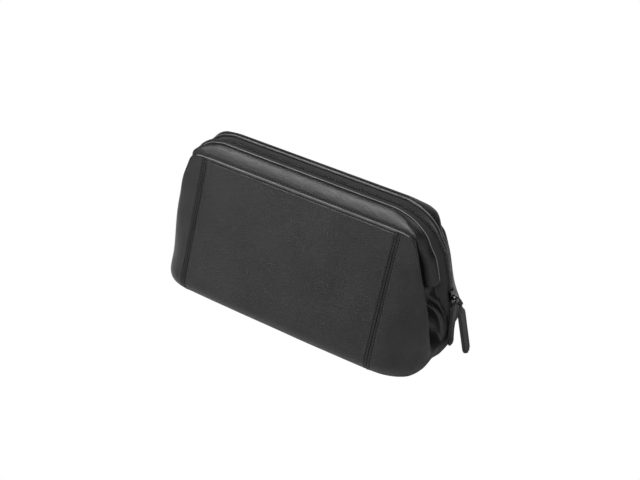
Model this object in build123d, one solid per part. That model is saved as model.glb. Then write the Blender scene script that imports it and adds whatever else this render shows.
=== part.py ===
from build123d import *
import os
from math import acos, atan2, cos, degrees, hypot, radians, sin, sqrt, tan

# A framed leather wash bag, closed. Sizes are in millimetres. The long side lies along X, the
# front faces -Y, and the origin is the middle of the flat underside. The right end, at +X,
# carries the slider and its pull.

# Leather body
panel_half_length = 97.0       # middle of the bag to the upright seams of the long walls
floor_half_width = 51.9        # middle to where the underside starts to turn up
edge_radius = 12.0             # roll between the underside and the long walls
seam_half_width = 21.3         # middle to the seam that joins wall and collar
seam_height = 120.3
base_seam_half_width = 45.0    # seam under the bag between base and walls
base_half_length = 121.0
leather = 1.4
lining = 0.8
layer_gap = 0.2                # between leather, lining and board
seam_gap = 0.1                 # between pieces that are sewn edge to edge
collar_gap = 0.9               # top edge of the long walls under the seam
base_corner_radius = 16.0
board_thickness = 2.0
board_margin = 2.0             # board edge to the base seam

# Ends of the body, measured outside the upright seams
corner_reach = 35.3            # outermost point of the lower corners
end_reach = 40.0               # middle of the end wall
ridge_half_width = 37.0        # middle to the ridge where the corner turns on to the end
fold_half_width = 17.5         # middle to the bottom of the inward fold
underside_inset = 6.8          # outline of the underside, inside the outermost points
underside_band = 4.0           # flat ring under each end
lining_top = 105.0
end_lining_top = 57.0

# Zip line, which runs over the top and down both ends
zip_rise = 9.7                 # zip line over the wall seam
zip_corner_radius = 27.0
leg_lean = 11.5                # degrees that the end runs lean out from upright
leg_inset = 2.2                # zip line at the hinge height, inside the middle of the end wall
pivot_height = 70.0
tooth_gap = 0.5                # middle to the first row of teeth
tooth_width = 1.7
tape_edge = 1.0                # middle to the edge of each tape, under the teeth
tooth_height = 1.5
tape = 0.8
tape_sink = 0.8                # tape surface below the zip line
slot_end = 2.0                 # open slot between the tapes, past the teeth
collar_foot_rise = 4.0         # lower end of the collars over the hinge
sleeve_foot_rise = 12.0
zip_end_drop = 32.0            # lower end of the zip under the hinge
arc_steps = 4

# Sections across the zip, as width from the middle and height over the zip line, for the top
# run and for the end runs
collar_top = [(8.0, 1.0), (11.6, 0.8), (16.4, -1.4), (20.0, -5.2), (21.3, -9.7)]
collar_leg = [(8.0, -4.0), (11.6, -4.9), (15.3, -7.4), (17.4, -11.0), (17.2, -15.0)]
sleeve_top = [(10.2, -2.0), (11.0, -9.0), (18.7, -10.9)]
sleeve_leg = [(9.2, -7.2), (8.8, -12.4), (13.6, -15.8)]
tape_top = [(tape_edge, 0.0), (7.6, 0.0), (10.2, -0.1)]
tape_leg = [(tape_edge, 0.0), (7.6, -4.7), (9.5, -5.3)]

# Spring frames
wire_radius = 1.5
wire_bend = 20.0
wire_depth = 5.7               # wire under the zip line on the top run
wire_leg_depth = 9.4           # wire inside the zip line at its foot, measured level
wire_lean = 11.7               # degrees that the feet lean out from upright
wire_top_y = 13.6
wire_foot_y = 11.4
wire_foot_rise = 7.0           # foot over the hinge
eye_thickness = 1.2
eye_radius = 3.6
eye_spacing = 1.4              # front eye to back eye along the rivet
rivet_radius = 1.5
rivet_clearance = 0.05
rivet_head_radius = 2.6
rivet_head = 0.6
rivet_tail = 0.2               # rivet shank past the outer eye

# Slider and pull
slider_under_hinge = 10.5      # middle of the slider under the hinge
slider_length = 11.0
slider_half_width = 4.4
slider_plate = 1.2
slider_lift = 1.0              # top plate over the zip line
slider_drop = 3.0              # bottom plate under the zip line
slider_keel = 2.0              # half width of the bottom plate
slider_post = 0.3
rail_depth = 2.6
rail_width = 0.9
lug_half_width = 1.5
lug_length = 4.0
lug_height = 3.0
lug_offset = -2.5
link_wire = 0.65
link_bore = 0.75
link_half_width = 3.1
link_length = 5.6
link_slope = 40.0              # degrees under level
pull_width = 10.5
pull_length = 48.0
pull_thickness = 2.4
pull_slope = 78.0              # degrees under level
pull_neck_width = 3.2
pull_neck_length = 5.0
pull_eye_radius = 1.9
pull_eye_bore = 0.8

# Leather tabs over the zip ends
tab_width = 12.0
tab_thickness = 1.8
tab_under_hinge = 20.0         # top of the tab under the hinge
tab_foot = 9.0
tab_clearance = 0.3
right_tab_reach = 2.2          # foot of the tab outside the middle of the end wall
left_tab_reach = 18.0

# Places worked out from the sizes
end_x = panel_half_length + end_reach
zip_height = seam_height + zip_rise
leg_foot_x = end_x - leg_inset
collar_end_height = pivot_height + collar_foot_rise
sleeve_end_height = pivot_height + sleeve_foot_rise
zip_end_height = pivot_height - zip_end_drop
slider_height = pivot_height - slider_under_hinge
tab_top = pivot_height - tab_under_hinge
wire_foot_z = pivot_height + wire_foot_rise
wire_foot_x = leg_foot_x - wire_foot_rise * tan(radians(leg_lean)) - wire_leg_depth
wire_top_z = zip_height - wire_depth
wire_top_x = wire_foot_x - (wire_top_z - wire_foot_z) * tan(radians(wire_lean))


def wall_tangent():
    """Lean of the long walls, and the point where each leaves its edge roll."""
    dy = floor_half_width - seam_half_width
    dz = seam_height - edge_radius
    lean = atan2(dy, dz) + atan2(edge_radius, sqrt(dy * dy + dz * dz - edge_radius ** 2))
    return lean, floor_half_width + edge_radius * cos(lean), edge_radius + edge_radius * sin(lean)


def wall_half_width(z):
    """Half width of the bag at the long walls, at height z."""
    lean, y_start, z_start = wall_tangent()
    if z >= z_start:
        return y_start - (z - z_start) * tan(lean)
    return floor_half_width + sqrt(max(0.0, edge_radius ** 2 - (edge_radius - z) ** 2))


def wall_line(depth, top, inner_edge):
    """Line of the front wall in the YZ plane, at a depth under its outer face."""
    lean, y_start, z_start = wall_tangent()
    radius = edge_radius - depth
    start_y = y_start - cos(lean) * depth
    start_z = z_start - sin(lean) * depth
    return [
        (-inner_edge, depth),
        (-floor_half_width, depth),
        (-floor_half_width - radius * sin(radians(50)), edge_radius - radius * cos(radians(50))),
        (-start_y, start_z),
        (-start_y + (top - start_z) * tan(lean), top),
    ]


def wall_shell(depth, thickness, top, inner_edge, half_length):
    """Front wall with its rolled lower edge, at a depth under the outer face."""
    o = wall_line(depth, top, inner_edge)
    i = wall_line(depth + thickness, top, inner_edge)
    outline = Curve() + [
        Line(o[0], o[1]),
        ThreePointArc(o[1], o[2], o[3]),
        Line(o[3], o[4]),
        Line(o[4], i[4]),
        Line(i[4], i[3]),
        ThreePointArc(i[3], i[2], i[1]),
        Line(i[1], i[0]),
        Line(i[0], o[0]),
    ]
    return extrude(Plane.YZ * make_face(outline), amount=half_length, both=True)


def offset_line(points, depth, longest=2.6):
    """A bent line moved to its right-hand side, with mitred corners of limited length."""
    moved = []
    for n, point in enumerate(points):
        normals = []
        for a, b in ((n - 1, n), (n, n + 1)):
            if a >= 0 and b < len(points):
                dx = points[b][0] - points[a][0]
                dy = points[b][1] - points[a][1]
                size = hypot(dx, dy)
                normals.append((dy / size, -dx / size))
        nx = sum(v[0] for v in normals)
        ny = sum(v[1] for v in normals)
        size = hypot(nx, ny)
        nx, ny = nx / size, ny / size
        scale = min(longest, 1.0 / max(0.1, nx * normals[0][0] + ny * normals[0][1]))
        moved.append((point[0] + nx * depth * scale, point[1] + ny * depth * scale))
    return moved


def end_rows():
    """Heights through an end of the bag. Each row gives the height, then the distance outside the
    upright seam and the half width of the corner ridge, of the bottom of the inward fold and of
    the edge beside the collar, then the distance of the middle of the end."""
    top = seam_height
    hinge = pivot_height
    ridge = ridge_half_width
    fold = fold_half_width
    reach = corner_reach
    end = end_reach

    def beside_wall(below, inset):
        return wall_half_width(top - below) - inset

    return [
        (0.0, reach - underside_inset, ridge - 1.0, reach - underside_inset + 2.4, fold + 4.0,
         end - 5.7, 10.0, end - 5.2),
        (2.2, reach - 3.1, ridge + 1.0, reach - 0.6, fold + 4.0, end - 2.2, 10.0, end - 1.7),
        (7.0, reach - 0.9, ridge + 2.0, reach + 1.4, fold + 4.0, end - 0.7, 10.0, end - 0.4),
        (16.0, reach, ridge + 1.5, reach + 1.6, fold + 3.5, end - 0.6, 9.0, end),
        (hinge - 42.0, reach - 0.3, ridge, end - 6.2, fold + 0.5, end - 2.6, 7.0, end - 0.4),
        (hinge - 28.0, reach - 1.0, ridge - 1.0, end - 12.6, fold - 1.0, end - 5.0, 7.4, end - 1.0),
        (hinge - 14.0, reach - 2.6, ridge - 2.5, end - 20.7, fold - 0.5, end - 8.0, 9.8, end - 5.0),
        (hinge, reach - 5.2, ridge - 4.0, end - 28.5, fold + 0.7, end - 14.0, 14.0, end - 7.2),
        (hinge + 14.0, reach - 8.9, ridge - 6.0, end - 31.0, fold + 1.5, end - 21.7, 16.2, None),
        (top - 22.3, end - 17.5, beside_wall(22.3, 2.0), end - 30.5, fold + 3.0,
         end - 25.1, 17.4, None),
        (top - 10.3, end - 22.7, beside_wall(10.3, 0.9), end - 26.1, beside_wall(10.3, 4.2),
         end - 25.9, beside_wall(10.3, 7.1), None),
        (top - 4.8, end - 27.0, beside_wall(4.8, 0.6), end - 28.2, beside_wall(4.8, 2.6),
         end - 29.5, beside_wall(4.8, 4.2), None),
        (top - 1.0, end - 35.0, beside_wall(1.0, 0.6), end - 34.8, beside_wall(1.0, 1.3),
         end - 34.6, beside_wall(1.0, 2.1), None),
    ]


def end_line(row):
    """Outer line of the right end at one height, from the front seam to the middle or, over the
    hinge, to the edge beside the collar. Points are x and the half width."""
    z, ridge_out, ridge_width, fold_out, fold_width, edge_out, edge_width, middle_out = row
    seam = wall_half_width(z)
    drop = seam - ridge_width
    points = [(panel_half_length, seam)]
    for share in (0.35, 0.62, 0.83):
        points.append((panel_half_length + ridge_out * share,
                       seam - drop * (1.0 - sqrt(1.0 - share * share))))
    points.append((panel_half_length + ridge_out, ridge_width))
    points.append((panel_half_length + fold_out, fold_width))
    points.append((panel_half_length + edge_out, edge_width))
    if middle_out is not None:
        points.append((panel_half_length + middle_out, 0.0))
    return points


def level_thickness(z, thickness):
    """Thickness measured level, which grows where the skin rolls under the bag."""
    if z >= edge_radius:
        return thickness
    slope = acos(1.0 - z / edge_radius)
    return min(underside_band, thickness / max(0.2, sin(slope)))


def end_section(row, depth, thickness, whole):
    """Closed section of the end skin at one height."""
    z = row[0]
    line = [(x, -y) for x, y in end_line(row)]
    if whole:
        line = line + [(x, -y) for x, y in reversed(line[:-1])]
    elif row[-1] is not None:
        line = line[:-1]
    line = list(reversed(line))
    outer = offset_line(line, depth) if depth > 0 else line
    inner = offset_line(line, depth + level_thickness(z, thickness))
    ring = [(max(x, panel_half_length + seam_gap), y) for x, y in outer + list(reversed(inner))]
    return Plane.XY.offset(z) * make_face(Polyline(ring, close=True))


def end_skin():
    """Skin of the right end: one shell up to the hinge, and one on each side of the zip over it."""
    rows = end_rows()
    lower = [end_section(row, 0.0, leather, True) for row in rows if row[0] <= pivot_height]
    skin = loft(lower, ruled=True)
    upper = [end_section(row, 0.0, leather, False) for row in rows if row[0] >= pivot_height]
    side = loft(upper, ruled=True)
    return skin + side + mirror(side, about=Plane.XZ)


def base_outline(inset):
    """Outline of the base inside its seam, drawn in by an inset."""
    return RectangleRounded(2 * (base_half_length - inset), 2 * (base_seam_half_width - inset),
                            base_corner_radius - inset)


def end_underside():
    """Flat turned-in part under the right end, outside the base."""
    line = end_line(end_rows()[0])
    line[0] = (panel_half_length + seam_gap, line[0][1])
    ring = [(x, -y) for x, y in line] + [(x, y) for x, y in reversed(line[:-1])]
    plate = extrude(make_face(Polyline(ring, close=True)), amount=leather)
    return plate - extrude(base_outline(-seam_gap), amount=leather)


def make_gusset():
    """Leather of the right end, with its inward folds."""
    return end_skin() + end_underside()


def make_gusset_lining():
    """Lining of the right end, from the base to just under the hinge."""
    rows = [row for row in end_rows() if edge_radius <= row[0] <= end_lining_top]
    return loft([end_section(row, leather + layer_gap, lining, True) for row in rows], ruled=True)


def zip_stations(foot_z):
    """Points along the zip from a foot height on the left, over the top, to the same height on the
    right. Each has x, z, the outward direction, and 0 on the top run rising to 1 on the ends."""
    lean = radians(leg_lean)
    radius = zip_corner_radius
    centre_z = zip_height - radius
    centre_x = leg_foot_x - (radius + (centre_z - pivot_height) * sin(lean)) / cos(lean)
    foot_x = leg_foot_x - (foot_z - pivot_height) * tan(lean)
    right = []
    for step in range(arc_steps + 1):
        share = step / arc_steps
        angle = radians(90.0) + (lean - radians(90.0)) * share
        right.append((centre_x + radius * cos(angle), centre_z + radius * sin(angle),
                      cos(angle), sin(angle), share))
    right.append((foot_x, foot_z, cos(lean), sin(lean), 1.0))
    left = [(-x, z, -nx, nz, share) for x, z, nx, nz, share in reversed(right)]
    return left + right


def band_section(station, top_line, leg_line, depth, side):
    """Closed section of a band along the zip, at one station."""
    x, z, nx, nz, share = station
    line = [(t[0] + (g[0] - t[0]) * share, t[1] + (g[1] - t[1]) * share)
            for t, g in zip(top_line, leg_line)]
    ring = line + list(reversed(offset_line(line, depth)))
    points = [(x + nx * h, side * b, z + nz * h) for b, h in ring]
    return Face(Wire.make_polygon(points, close=True))


def make_band(top_line, leg_line, depth, side, foot_z):
    """A band of even thickness along the whole zip. Side is -1 for the front."""
    sections = [band_section(s, top_line, leg_line, depth, side) for s in zip_stations(foot_z)]
    return loft(sections, ruled=True)


def sunk(line):
    """A section lowered from the zip line to the tape's surface."""
    return [(b, h - tape_sink) for b, h in line]


def make_teeth(side):
    """One row of zip teeth, as a plain strip along the frame."""
    low = -tooth_height / 2
    high = tooth_height / 2
    near = tooth_gap
    far = tooth_gap + tooth_width
    ring = [(near, high), (far, high), (far, low), (near, low)]
    faces = []
    for x, z, nx, nz, share in zip_stations(pivot_height + seam_gap):
        points = [(x + nx * h, side * b, z + nz * h) for b, h in ring]
        faces.append(Face(Wire.make_polygon(points, close=True)))
    return loft(faces, ruled=True)


def make_zip_end():
    """Zip tape below the right hinge, narrowing to the tab, with its two rows of teeth."""
    lean = radians(leg_lean)
    rows = [
        # height, distance inside the zip line, half width and drop at the bend and at the edge
        (pivot_height, 0.0, 7.6, 4.7, 10.0, 5.4),
        (pivot_height - 13.0, 0.0, 6.4, 4.0, 8.6, 4.9),
        (pivot_height - 24.0, 0.9, 4.0, 2.6, 5.0, 3.0),
        (zip_end_height, 2.3, 1.4, 0.4, 1.8, 0.6),
    ]
    faces = []
    for z, inset, bend_width, bend_drop, edge_width, edge_drop in rows:
        x = leg_foot_x - (z - pivot_height) * tan(lean) - inset
        half = [(edge_width, edge_drop), (bend_width, bend_drop), (0.3, 0.0)]
        line = half + [(-b, h) for b, h in reversed(half)]
        outer = [(x - tape_sink - h, -b) for b, h in line]
        inner = offset_line(outer, -tape)
        ring = outer + list(reversed(inner))
        faces.append(Face(Wire.make_polygon([(px, py, z) for px, py in ring], close=True)))
    piece = loft(faces, ruled=True)
    run = pivot_height - 1.0 - (slider_height - slider_length / 2)
    slot = Box(end_reach, 2 * tooth_gap, 2 * (run + slot_end))
    piece -= Pos(leg_foot_x, 0, pivot_height) * slot
    for side in (-1, 1):
        row = Box(tooth_height + 0.2, tooth_width, run)
        middle = pivot_height - 1.0 - run / 2
        x = leg_foot_x - (middle - pivot_height) * tan(lean)
        piece += Pos(x - 0.1, side * (tooth_gap + tooth_width / 2), middle) * Rot(0, -leg_lean, 0) * row
    return piece


def make_wire(side, order):
    """One spring frame: a bent wire with a flat eye on each foot."""
    y_top = side * wire_top_y
    y_foot = side * wire_foot_y
    path = FilletPolyline(
        (-wire_foot_x, y_foot, wire_foot_z),
        (-wire_top_x, y_top, wire_top_z),
        (wire_top_x, y_top, wire_top_z),
        (wire_foot_x, y_foot, wire_foot_z),
        radius=wire_bend,
    )
    wire = sweep(Plane(path @ 0, z_dir=path % 0) * Circle(wire_radius), path=path)
    for end in (-1, 1):
        x = end * (wire_foot_x + order * eye_spacing)
        y, z = y_foot, wire_foot_z + wire_radius
        reach = hypot(y, z - pivot_height)
        angle = degrees(atan2(z - pivot_height, y))
        outline = Circle(eye_radius) + Rot(0, 0, angle) * Pos(reach / 2, 0) * Rectangle(
            reach, 2 * wire_radius)
        outline -= Circle(rivet_radius + rivet_clearance)
        wire += Plane(origin=(x, 0, pivot_height), x_dir=(0, 1, 0), z_dir=(1, 0, 0)) * extrude(
            outline, amount=eye_thickness / 2, both=True)
    return wire


def make_rivet(end):
    """Pivot rivet through both eyes at one end."""
    inner = wire_foot_x - eye_thickness / 2 - 0.1
    outer = wire_foot_x + eye_spacing + eye_thickness / 2 + rivet_tail
    turn = Plane.YZ.offset(inner)
    rivet = turn * extrude(Circle(rivet_radius), amount=outer - inner)
    rivet += Plane.YZ.offset(inner - rivet_head) * extrude(Circle(rivet_head_radius), amount=rivet_head)
    rivet += Plane.YZ.offset(outer) * extrude(Circle(rivet_head_radius), amount=rivet_head)
    rivet = Pos(0, 0, pivot_height) * rivet
    return rivet if end > 0 else mirror(rivet, about=Plane.YZ)


def slider_plane():
    """Slider axes: local X up the zip, local Y across it and local Z outwards."""
    lean = radians(leg_lean)
    x = leg_foot_x - (slider_height - pivot_height) * tan(lean)
    return Plane(origin=(x, 0, slider_height), x_dir=(-sin(lean), 0, cos(lean)),
                 z_dir=(cos(lean), 0, sin(lean)))


def make_slider():
    """Slider: top plate with side rails, post, bottom plate and the lug for the link."""
    top = slider_lift
    plate = extrude(RectangleRounded(slider_length, 2 * slider_half_width, 2.2), amount=slider_plate)
    body = Pos(0, 0, top) * plate
    for side in (-1, 1):
        rail = Box(slider_length - 3.0, rail_width, rail_depth + 0.4)
        body += Pos(0, side * (slider_half_width - rail_width / 2), top + 0.4 - (rail_depth + 0.4) / 2) * rail
    keel = Box(slider_length - 1.0, 2 * slider_keel, slider_plate)
    body += Pos(0, 0, -slider_drop - slider_plate / 2) * keel
    body += Pos(-slider_length / 2 + 2.0, 0, (top - slider_drop) / 2) * Box(
        2.4, 2 * slider_post, top + slider_drop + 0.4)
    lug = Pos(lug_offset, 0, top + slider_plate + lug_height / 2 - 0.2) * Box(
        lug_length, 2 * lug_half_width, lug_height + 0.4)
    lug = fillet(lug.edges().filter_by(Axis.Y).sort_by(Axis.Z)[-2:], 1.2)
    body += lug
    bore = Pos(lug_offset, 0, link_axis_height()) * Rot(90, 0, 0) * Cylinder(link_bore, 4 * lug_half_width)
    body -= bore
    return slider_plane() * body


def link_axis_height():
    """Height of the link's bore over the zip line."""
    return slider_lift + slider_plate + 1.5


def link_pivot():
    """Point on the hinge axis between slider and link."""
    return slider_plane().from_local_coords(Vector(lug_offset, 0, link_axis_height()))


def pull_pivot():
    """Point on the hinge axis between link and leather pull."""
    slope = radians(link_slope)
    return link_pivot() + Vector(link_length * cos(slope), 0, -link_length * sin(slope))


def make_link():
    """Wire link: a closed oblong ring from the slider's lug to the leather pull."""
    a = link_pivot()
    b = pull_pivot()
    ring = Part()
    for point in (a, b):
        ring += Pos(point.X, 0, point.Z) * Rot(90, 0, 0) * Cylinder(link_wire, 2 * link_half_width)
    middle = (a + b) * 0.5
    for side in (-1, 1):
        bar = Pos(middle.X, side * (link_half_width - link_wire), middle.Z) * Rot(
            0, 90 + link_slope, 0) * Cylinder(link_wire, link_length + 2 * link_wire)
        ring += bar
    return ring


def make_pull():
    """Leather pull: a strip with a round end, folded round the link at its neck."""
    head = pull_pivot()
    slope = radians(pull_slope)
    frame = Plane(origin=head, x_dir=(cos(slope), 0, -sin(slope)), z_dir=(sin(slope), 0, cos(slope)))
    half = pull_width / 2
    strip = Pos((pull_neck_length + pull_length - half) / 2, 0) * Rectangle(
        pull_length - half - pull_neck_length, pull_width)
    strip += Pos(pull_length - half, 0) * Circle(half)
    strip += Pos(pull_neck_length / 2 + 0.5, 0) * Rectangle(pull_neck_length + 1.0, pull_neck_width)
    body = extrude(strip, amount=pull_thickness / 2, both=True)
    body += Rot(90, 0, 0) * Cylinder(pull_eye_radius, pull_neck_width)
    body -= Rot(90, 0, 0) * Cylinder(pull_eye_bore, 2 * pull_neck_width)
    return frame * body


def make_tab(foot_x):
    """Leather tab over the lower end of the zip, at the right end, with a rounded foot."""
    lean = radians(leg_lean)
    top_x = leg_foot_x - (tab_top - pivot_height) * tan(lean) - tape_sink + tab_clearance
    foot_z = tab_foot
    length = hypot(foot_x - top_x, tab_top - foot_z)
    along = Vector(foot_x - top_x, 0, foot_z - tab_top)
    frame = Plane(origin=(top_x, 0, tab_top), x_dir=along, z_dir=(-along.Z, 0, along.X))
    half = tab_width / 2
    outline = Pos((length - half) / 2, 0) * Rectangle(length - half, tab_width)
    outline += Pos(length - half, 0) * Circle(half)
    return frame * extrude(outline, amount=tab_thickness)


def make_base():
    """Base leather between the seams under the bag."""
    return extrude(base_outline(0.0), amount=leather)


def make_board():
    """Stiff board over the base leather."""
    return Pos(0, 0, leather + layer_gap) * extrude(base_outline(board_margin), amount=board_thickness)


def make_base_lining():
    """Lining over the board."""
    height = leather + board_thickness + 2 * layer_gap
    return Pos(0, 0, height) * extrude(base_outline(board_margin), amount=lining)


def make_wall():
    """Leather of the front wall."""
    return wall_shell(0.0, leather, seam_height - collar_gap, base_seam_half_width, panel_half_length)


def make_wall_lining():
    """Lining of the front wall."""
    return wall_shell(leather + layer_gap, lining, lining_top, base_seam_half_width, panel_half_length)


def make_pieces():
    """Every piece of the bag by name."""
    wall = make_wall()
    wall_lining = make_wall_lining()
    gusset = make_gusset()
    gusset_lining = make_gusset_lining()
    zip_end = make_zip_end()
    pieces = {
        "base_panel": make_base(),
        "base_board": make_board(),
        "base_lining": make_base_lining(),
        "front_panel": wall,
        "back_panel": mirror(wall, about=Plane.XZ),
        "front_lining": wall_lining,
        "back_lining": mirror(wall_lining, about=Plane.XZ),
        "right_gusset": gusset,
        "left_gusset": mirror(gusset, about=Plane.YZ),
        "right_gusset_lining": gusset_lining,
        "left_gusset_lining": mirror(gusset_lining, about=Plane.YZ),
        "right_zip_end": zip_end,
        "left_zip_end": mirror(zip_end, about=Plane.YZ),
        "right_zip_tab": make_tab(end_x + right_tab_reach),
        "left_zip_tab": mirror(make_tab(end_x + left_tab_reach), about=Plane.YZ),
        "right_pivot_rivet": make_rivet(1),
        "left_pivot_rivet": make_rivet(-1),
        "slider_body": make_slider(),
        "pull_link": make_link(),
        "leather_pull": make_pull(),
    }
    for name, side, order in (("front", -1, 0), ("back", 1, 1)):
        pieces[name + "_collar"] = make_band(
            collar_top, collar_leg, leather, side, collar_end_height)
        pieces[name + "_frame_sleeve"] = make_band(
            sleeve_top, sleeve_leg, lining, side, sleeve_end_height)
        pieces[name + "_zip_tape"] = make_band(
            sunk(tape_top), sunk(tape_leg), tape, side, collar_end_height)
        pieces[name + "_zip_teeth"] = make_teeth(side)
        pieces[name + "_frame_wire"] = make_wire(side, order)
    return pieces


os.makedirs("parts", exist_ok=True)
for name, piece in make_pieces().items():
    export_step(piece, "parts/" + name + ".step")
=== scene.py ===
from math import acos, atan2, copysign, cos, exp, hypot, pi, radians, sin, sqrt, tan

import bmesh
import bpy
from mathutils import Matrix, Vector


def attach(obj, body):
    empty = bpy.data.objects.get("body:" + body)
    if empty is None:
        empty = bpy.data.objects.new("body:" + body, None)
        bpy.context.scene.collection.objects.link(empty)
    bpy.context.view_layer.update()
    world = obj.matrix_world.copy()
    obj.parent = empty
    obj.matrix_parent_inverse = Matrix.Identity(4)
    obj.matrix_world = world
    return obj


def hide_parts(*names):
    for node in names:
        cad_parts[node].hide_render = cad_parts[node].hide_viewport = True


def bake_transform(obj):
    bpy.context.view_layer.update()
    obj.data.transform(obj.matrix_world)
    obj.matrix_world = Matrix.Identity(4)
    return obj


bl_info = {
    "name": "Framed leather wash bag",
    "version": (1, 0, 0),
    "blender": (4, 5, 0),
    "location": "View3D > Sidebar > Wash Bag",
    "description": "Builds the leather, linings, zip, pull and stitching of a framed wash bag",
    "category": "Object",
}

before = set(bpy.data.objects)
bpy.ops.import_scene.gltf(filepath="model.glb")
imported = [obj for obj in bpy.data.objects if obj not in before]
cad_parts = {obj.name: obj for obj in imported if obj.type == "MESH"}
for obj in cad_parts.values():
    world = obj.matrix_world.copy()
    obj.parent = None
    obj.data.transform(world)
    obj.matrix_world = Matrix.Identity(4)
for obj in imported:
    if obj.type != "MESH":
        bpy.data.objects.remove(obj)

MM = 0.001
FRONT = -1
BACK = 1
RIGHT = 1
LEFT = -1
SIDE_NAMES = {FRONT: "front", BACK: "back"}
END_NAMES = {RIGHT: "right", LEFT: "left"}

# Sections across the zip, as half width and height over the zip line, in millimetres, for the
# top run and for the end runs.
COLLAR_TOP = [(8.0, 0.9), (10.6, 1.5), (14.4, 0.2), (18.0, -2.9), (20.4, -6.2), (21.3, -9.7)]
COLLAR_LEG = [(8.0, -4.0), (10.6, -4.2), (13.9, -5.8), (16.2, -8.6), (17.3, -11.8), (17.2, -15.0)]
SLEEVE_TOP = [(10.2, -2.4), (11.0, -9.0), (18.7, -10.9)]
SLEEVE_LEG = [(9.6, -7.2), (9.0, -12.4), (13.6, -15.8)]

# Ends of the bag. Height, then distance outside the upright seam and half width of the corner
# ridge, of the bottom of the inward fold and of the edge beside the collar, then the distance of
# the middle of the end. The middle stops at the hinge.
END_ROWS = [
    (0.0, 28.5, 36.0, 29.4, 22.0, 34.3, 10.0, 34.8),
    (2.2, 32.2, 38.0, 32.4, 22.0, 37.8, 10.0, 38.3),
    (7.0, 34.6, 37.4, 35.2, 22.0, 39.3, 10.0, 39.6),
    (14.0, 35.9, 35.4, 35.9, 21.0, 39.2, 9.0, 40.0),
    (20.0, 36.0, 34.0, 32.2, 20.5, 38.4, 8.0, 39.9),
    (28.0, 35.7, 32.8, 25.8, 20.0, 36.6, 7.0, 39.6),
    (42.0, 34.6, 33.4, 17.5, 19.5, 33.5, 7.4, 39.0),
    (56.0, 32.8, 33.6, 12.0, 19.5, 30.0, 9.8, 35.0),
    (70.0, 30.1, 33.0, 8.5, 19.6, 25.0, 14.0, 32.8),
    (84.0, 26.4, 31.0, 7.5, 20.0, 18.6, 16.4, 31.0),
    (98.0, 22.5, 28.3, 8.5, 20.8, 16.0, 16.8, 30.0),
    (110.0, 18.2, 24.6, 13.8, 21.2, 14.6, 17.8, 29.0),
    (115.5, 15.9, 22.9, 13.4, 21.0, 12.8, 19.9, 28.0),
    (119.6, 12.6, 21.4, 11.0, 20.8, 9.0, 20.2, 27.0),
]

# Lean of each soft corner out of the drawn shape, as height and travel along the bag.
CORNER_LEAN = {
    ("right", "front"): [(0.0, 1.5), (16.0, 5.0), (42.0, 4.8), (70.0, 4.2), (98.0, 2.5),
                         (116.0, 1.0)],
    ("right", "back"): [(0.0, -3.0), (16.0, -6.5), (42.0, -11.5), (70.0, -9.6), (98.0, -7.0),
                        (116.0, -4.0)],
    ("left", "front"): [(0.0, -3.5), (16.0, -6.3), (42.0, -7.3), (70.0, -4.4), (98.0, -1.0),
                        (116.0, 0.5)],
    ("left", "back"): [(0.0, -2.5), (16.0, -4.5), (42.0, -6.0), (70.0, -4.0), (98.0, -1.5),
                       (116.0, 0.0)],
}

# Crests of the two pleats in the lower part of each end, outer one first, as height, half width
# and distance outside the upright seam.
OUTER_PLEAT = [(12.0, 4.4, 39.8), (21.8, 5.4, 39.6), (29.5, 6.8, 39.0), (36.5, 8.6, 38.2),
               (43.5, 11.2, 37.0), (51.5, 15.8, 35.2), (60.0, 22.2, 31.0), (68.0, 26.0, 24.0)]
INNER_PLEAT = [(12.0, 1.8, 40.0), (26.0, 2.6, 39.6), (36.0, 3.8, 38.8), (44.5, 6.6, 37.6),
               (52.0, 9.8, 36.0), (59.0, 13.8, 33.6), (66.0, 18.4, 28.0), (72.0, 20.0, 22.0)]
PLEAT_FOOT = 2.1
PLEAT_FALL = 6.5
PLEAT_VALLEY = 4.0

# Steps of the line across an end, from the upright seam round the ridge, the fold and the pleats,
# then the steps to its middle.
END_STEPS = (16, 5, 5, 6, 12, 6, 5, 5, 5, 6)
MIDDLE_STEPS = 5
RIDGE_SHARES = (0.35, 0.66, 0.88)
SEAM_LEAD = 12.0
PLEAT_SHIFT = 3.8

# Soft top, in distances from the middle of the bag and in heights. It sags from one end to the
# other, drops over the corners of the frames, most beside the zip, and gives inward at its ends,
# but not at the seam of the front collar.
SAG_HEIGHTS = (78.0, 124.0)
SAG_OVERHANG = 8.0
SAG_LEVEL = 0.52
DROP_REACH = (84.0, 108.0)
DROP_EASE_REACH = (116.0, 130.0)
DROP_WIDTHS = (9.0, 21.0)
DROP_AT_SEAM = 0.15
PINCH_REACH = (92.0, 116.0)
PINCH_HEIGHTS = (96.0, 115.0)
PINCH_FRONT_WIDTHS = (15.5, 21.0)

# Leather beside a seam and beside the zip, as depth, distance and width of each wave. A depth
# below zero stands proud.
SEAM_WAVES = ((0.62, 0.0, 0.40), (-0.34, 1.1, 0.55), (0.34, 2.3, 0.5), (-0.12, 3.6, 0.9))
ZIP_EDGE_WAVES = ((0.34, 2.2, 0.55), (-0.26, 0.9, 0.7))
COLLAR_DENT = 0.9

# Long walls: bulge of the middle, then each wave as its height, its turn per millimetre along and
# up, its start, and the change of that start from side to side.
WALL_CROWN = 2.9
WALL_WAVES = ((0.32, 0.061, 0.025, 0.0, 1.3), (0.24, 0.027, -0.052, 0.7, 0.0),
              (0.12, 0.115, 0.083, 0.0, 2.1))

# Least height of the underside over the ground.
UNDERSIDE = 0.02

# Folded edges of a collar beside the zip and on its seam: radius, then travel across and out.
ZIP_PIPING = (0.33, 0.05, 0.18)
SEAM_PIPING = (0.48, 0.34, 0.32)
SEAM_PIPING_SHARE = 0.30

# Rounded foot of a collar, as travel past its end and share of its section.
COLLAR_FOOT = ((0.5, 0.97), (0.95, 0.88), (1.25, 0.7), (1.35, 0.4))

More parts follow.
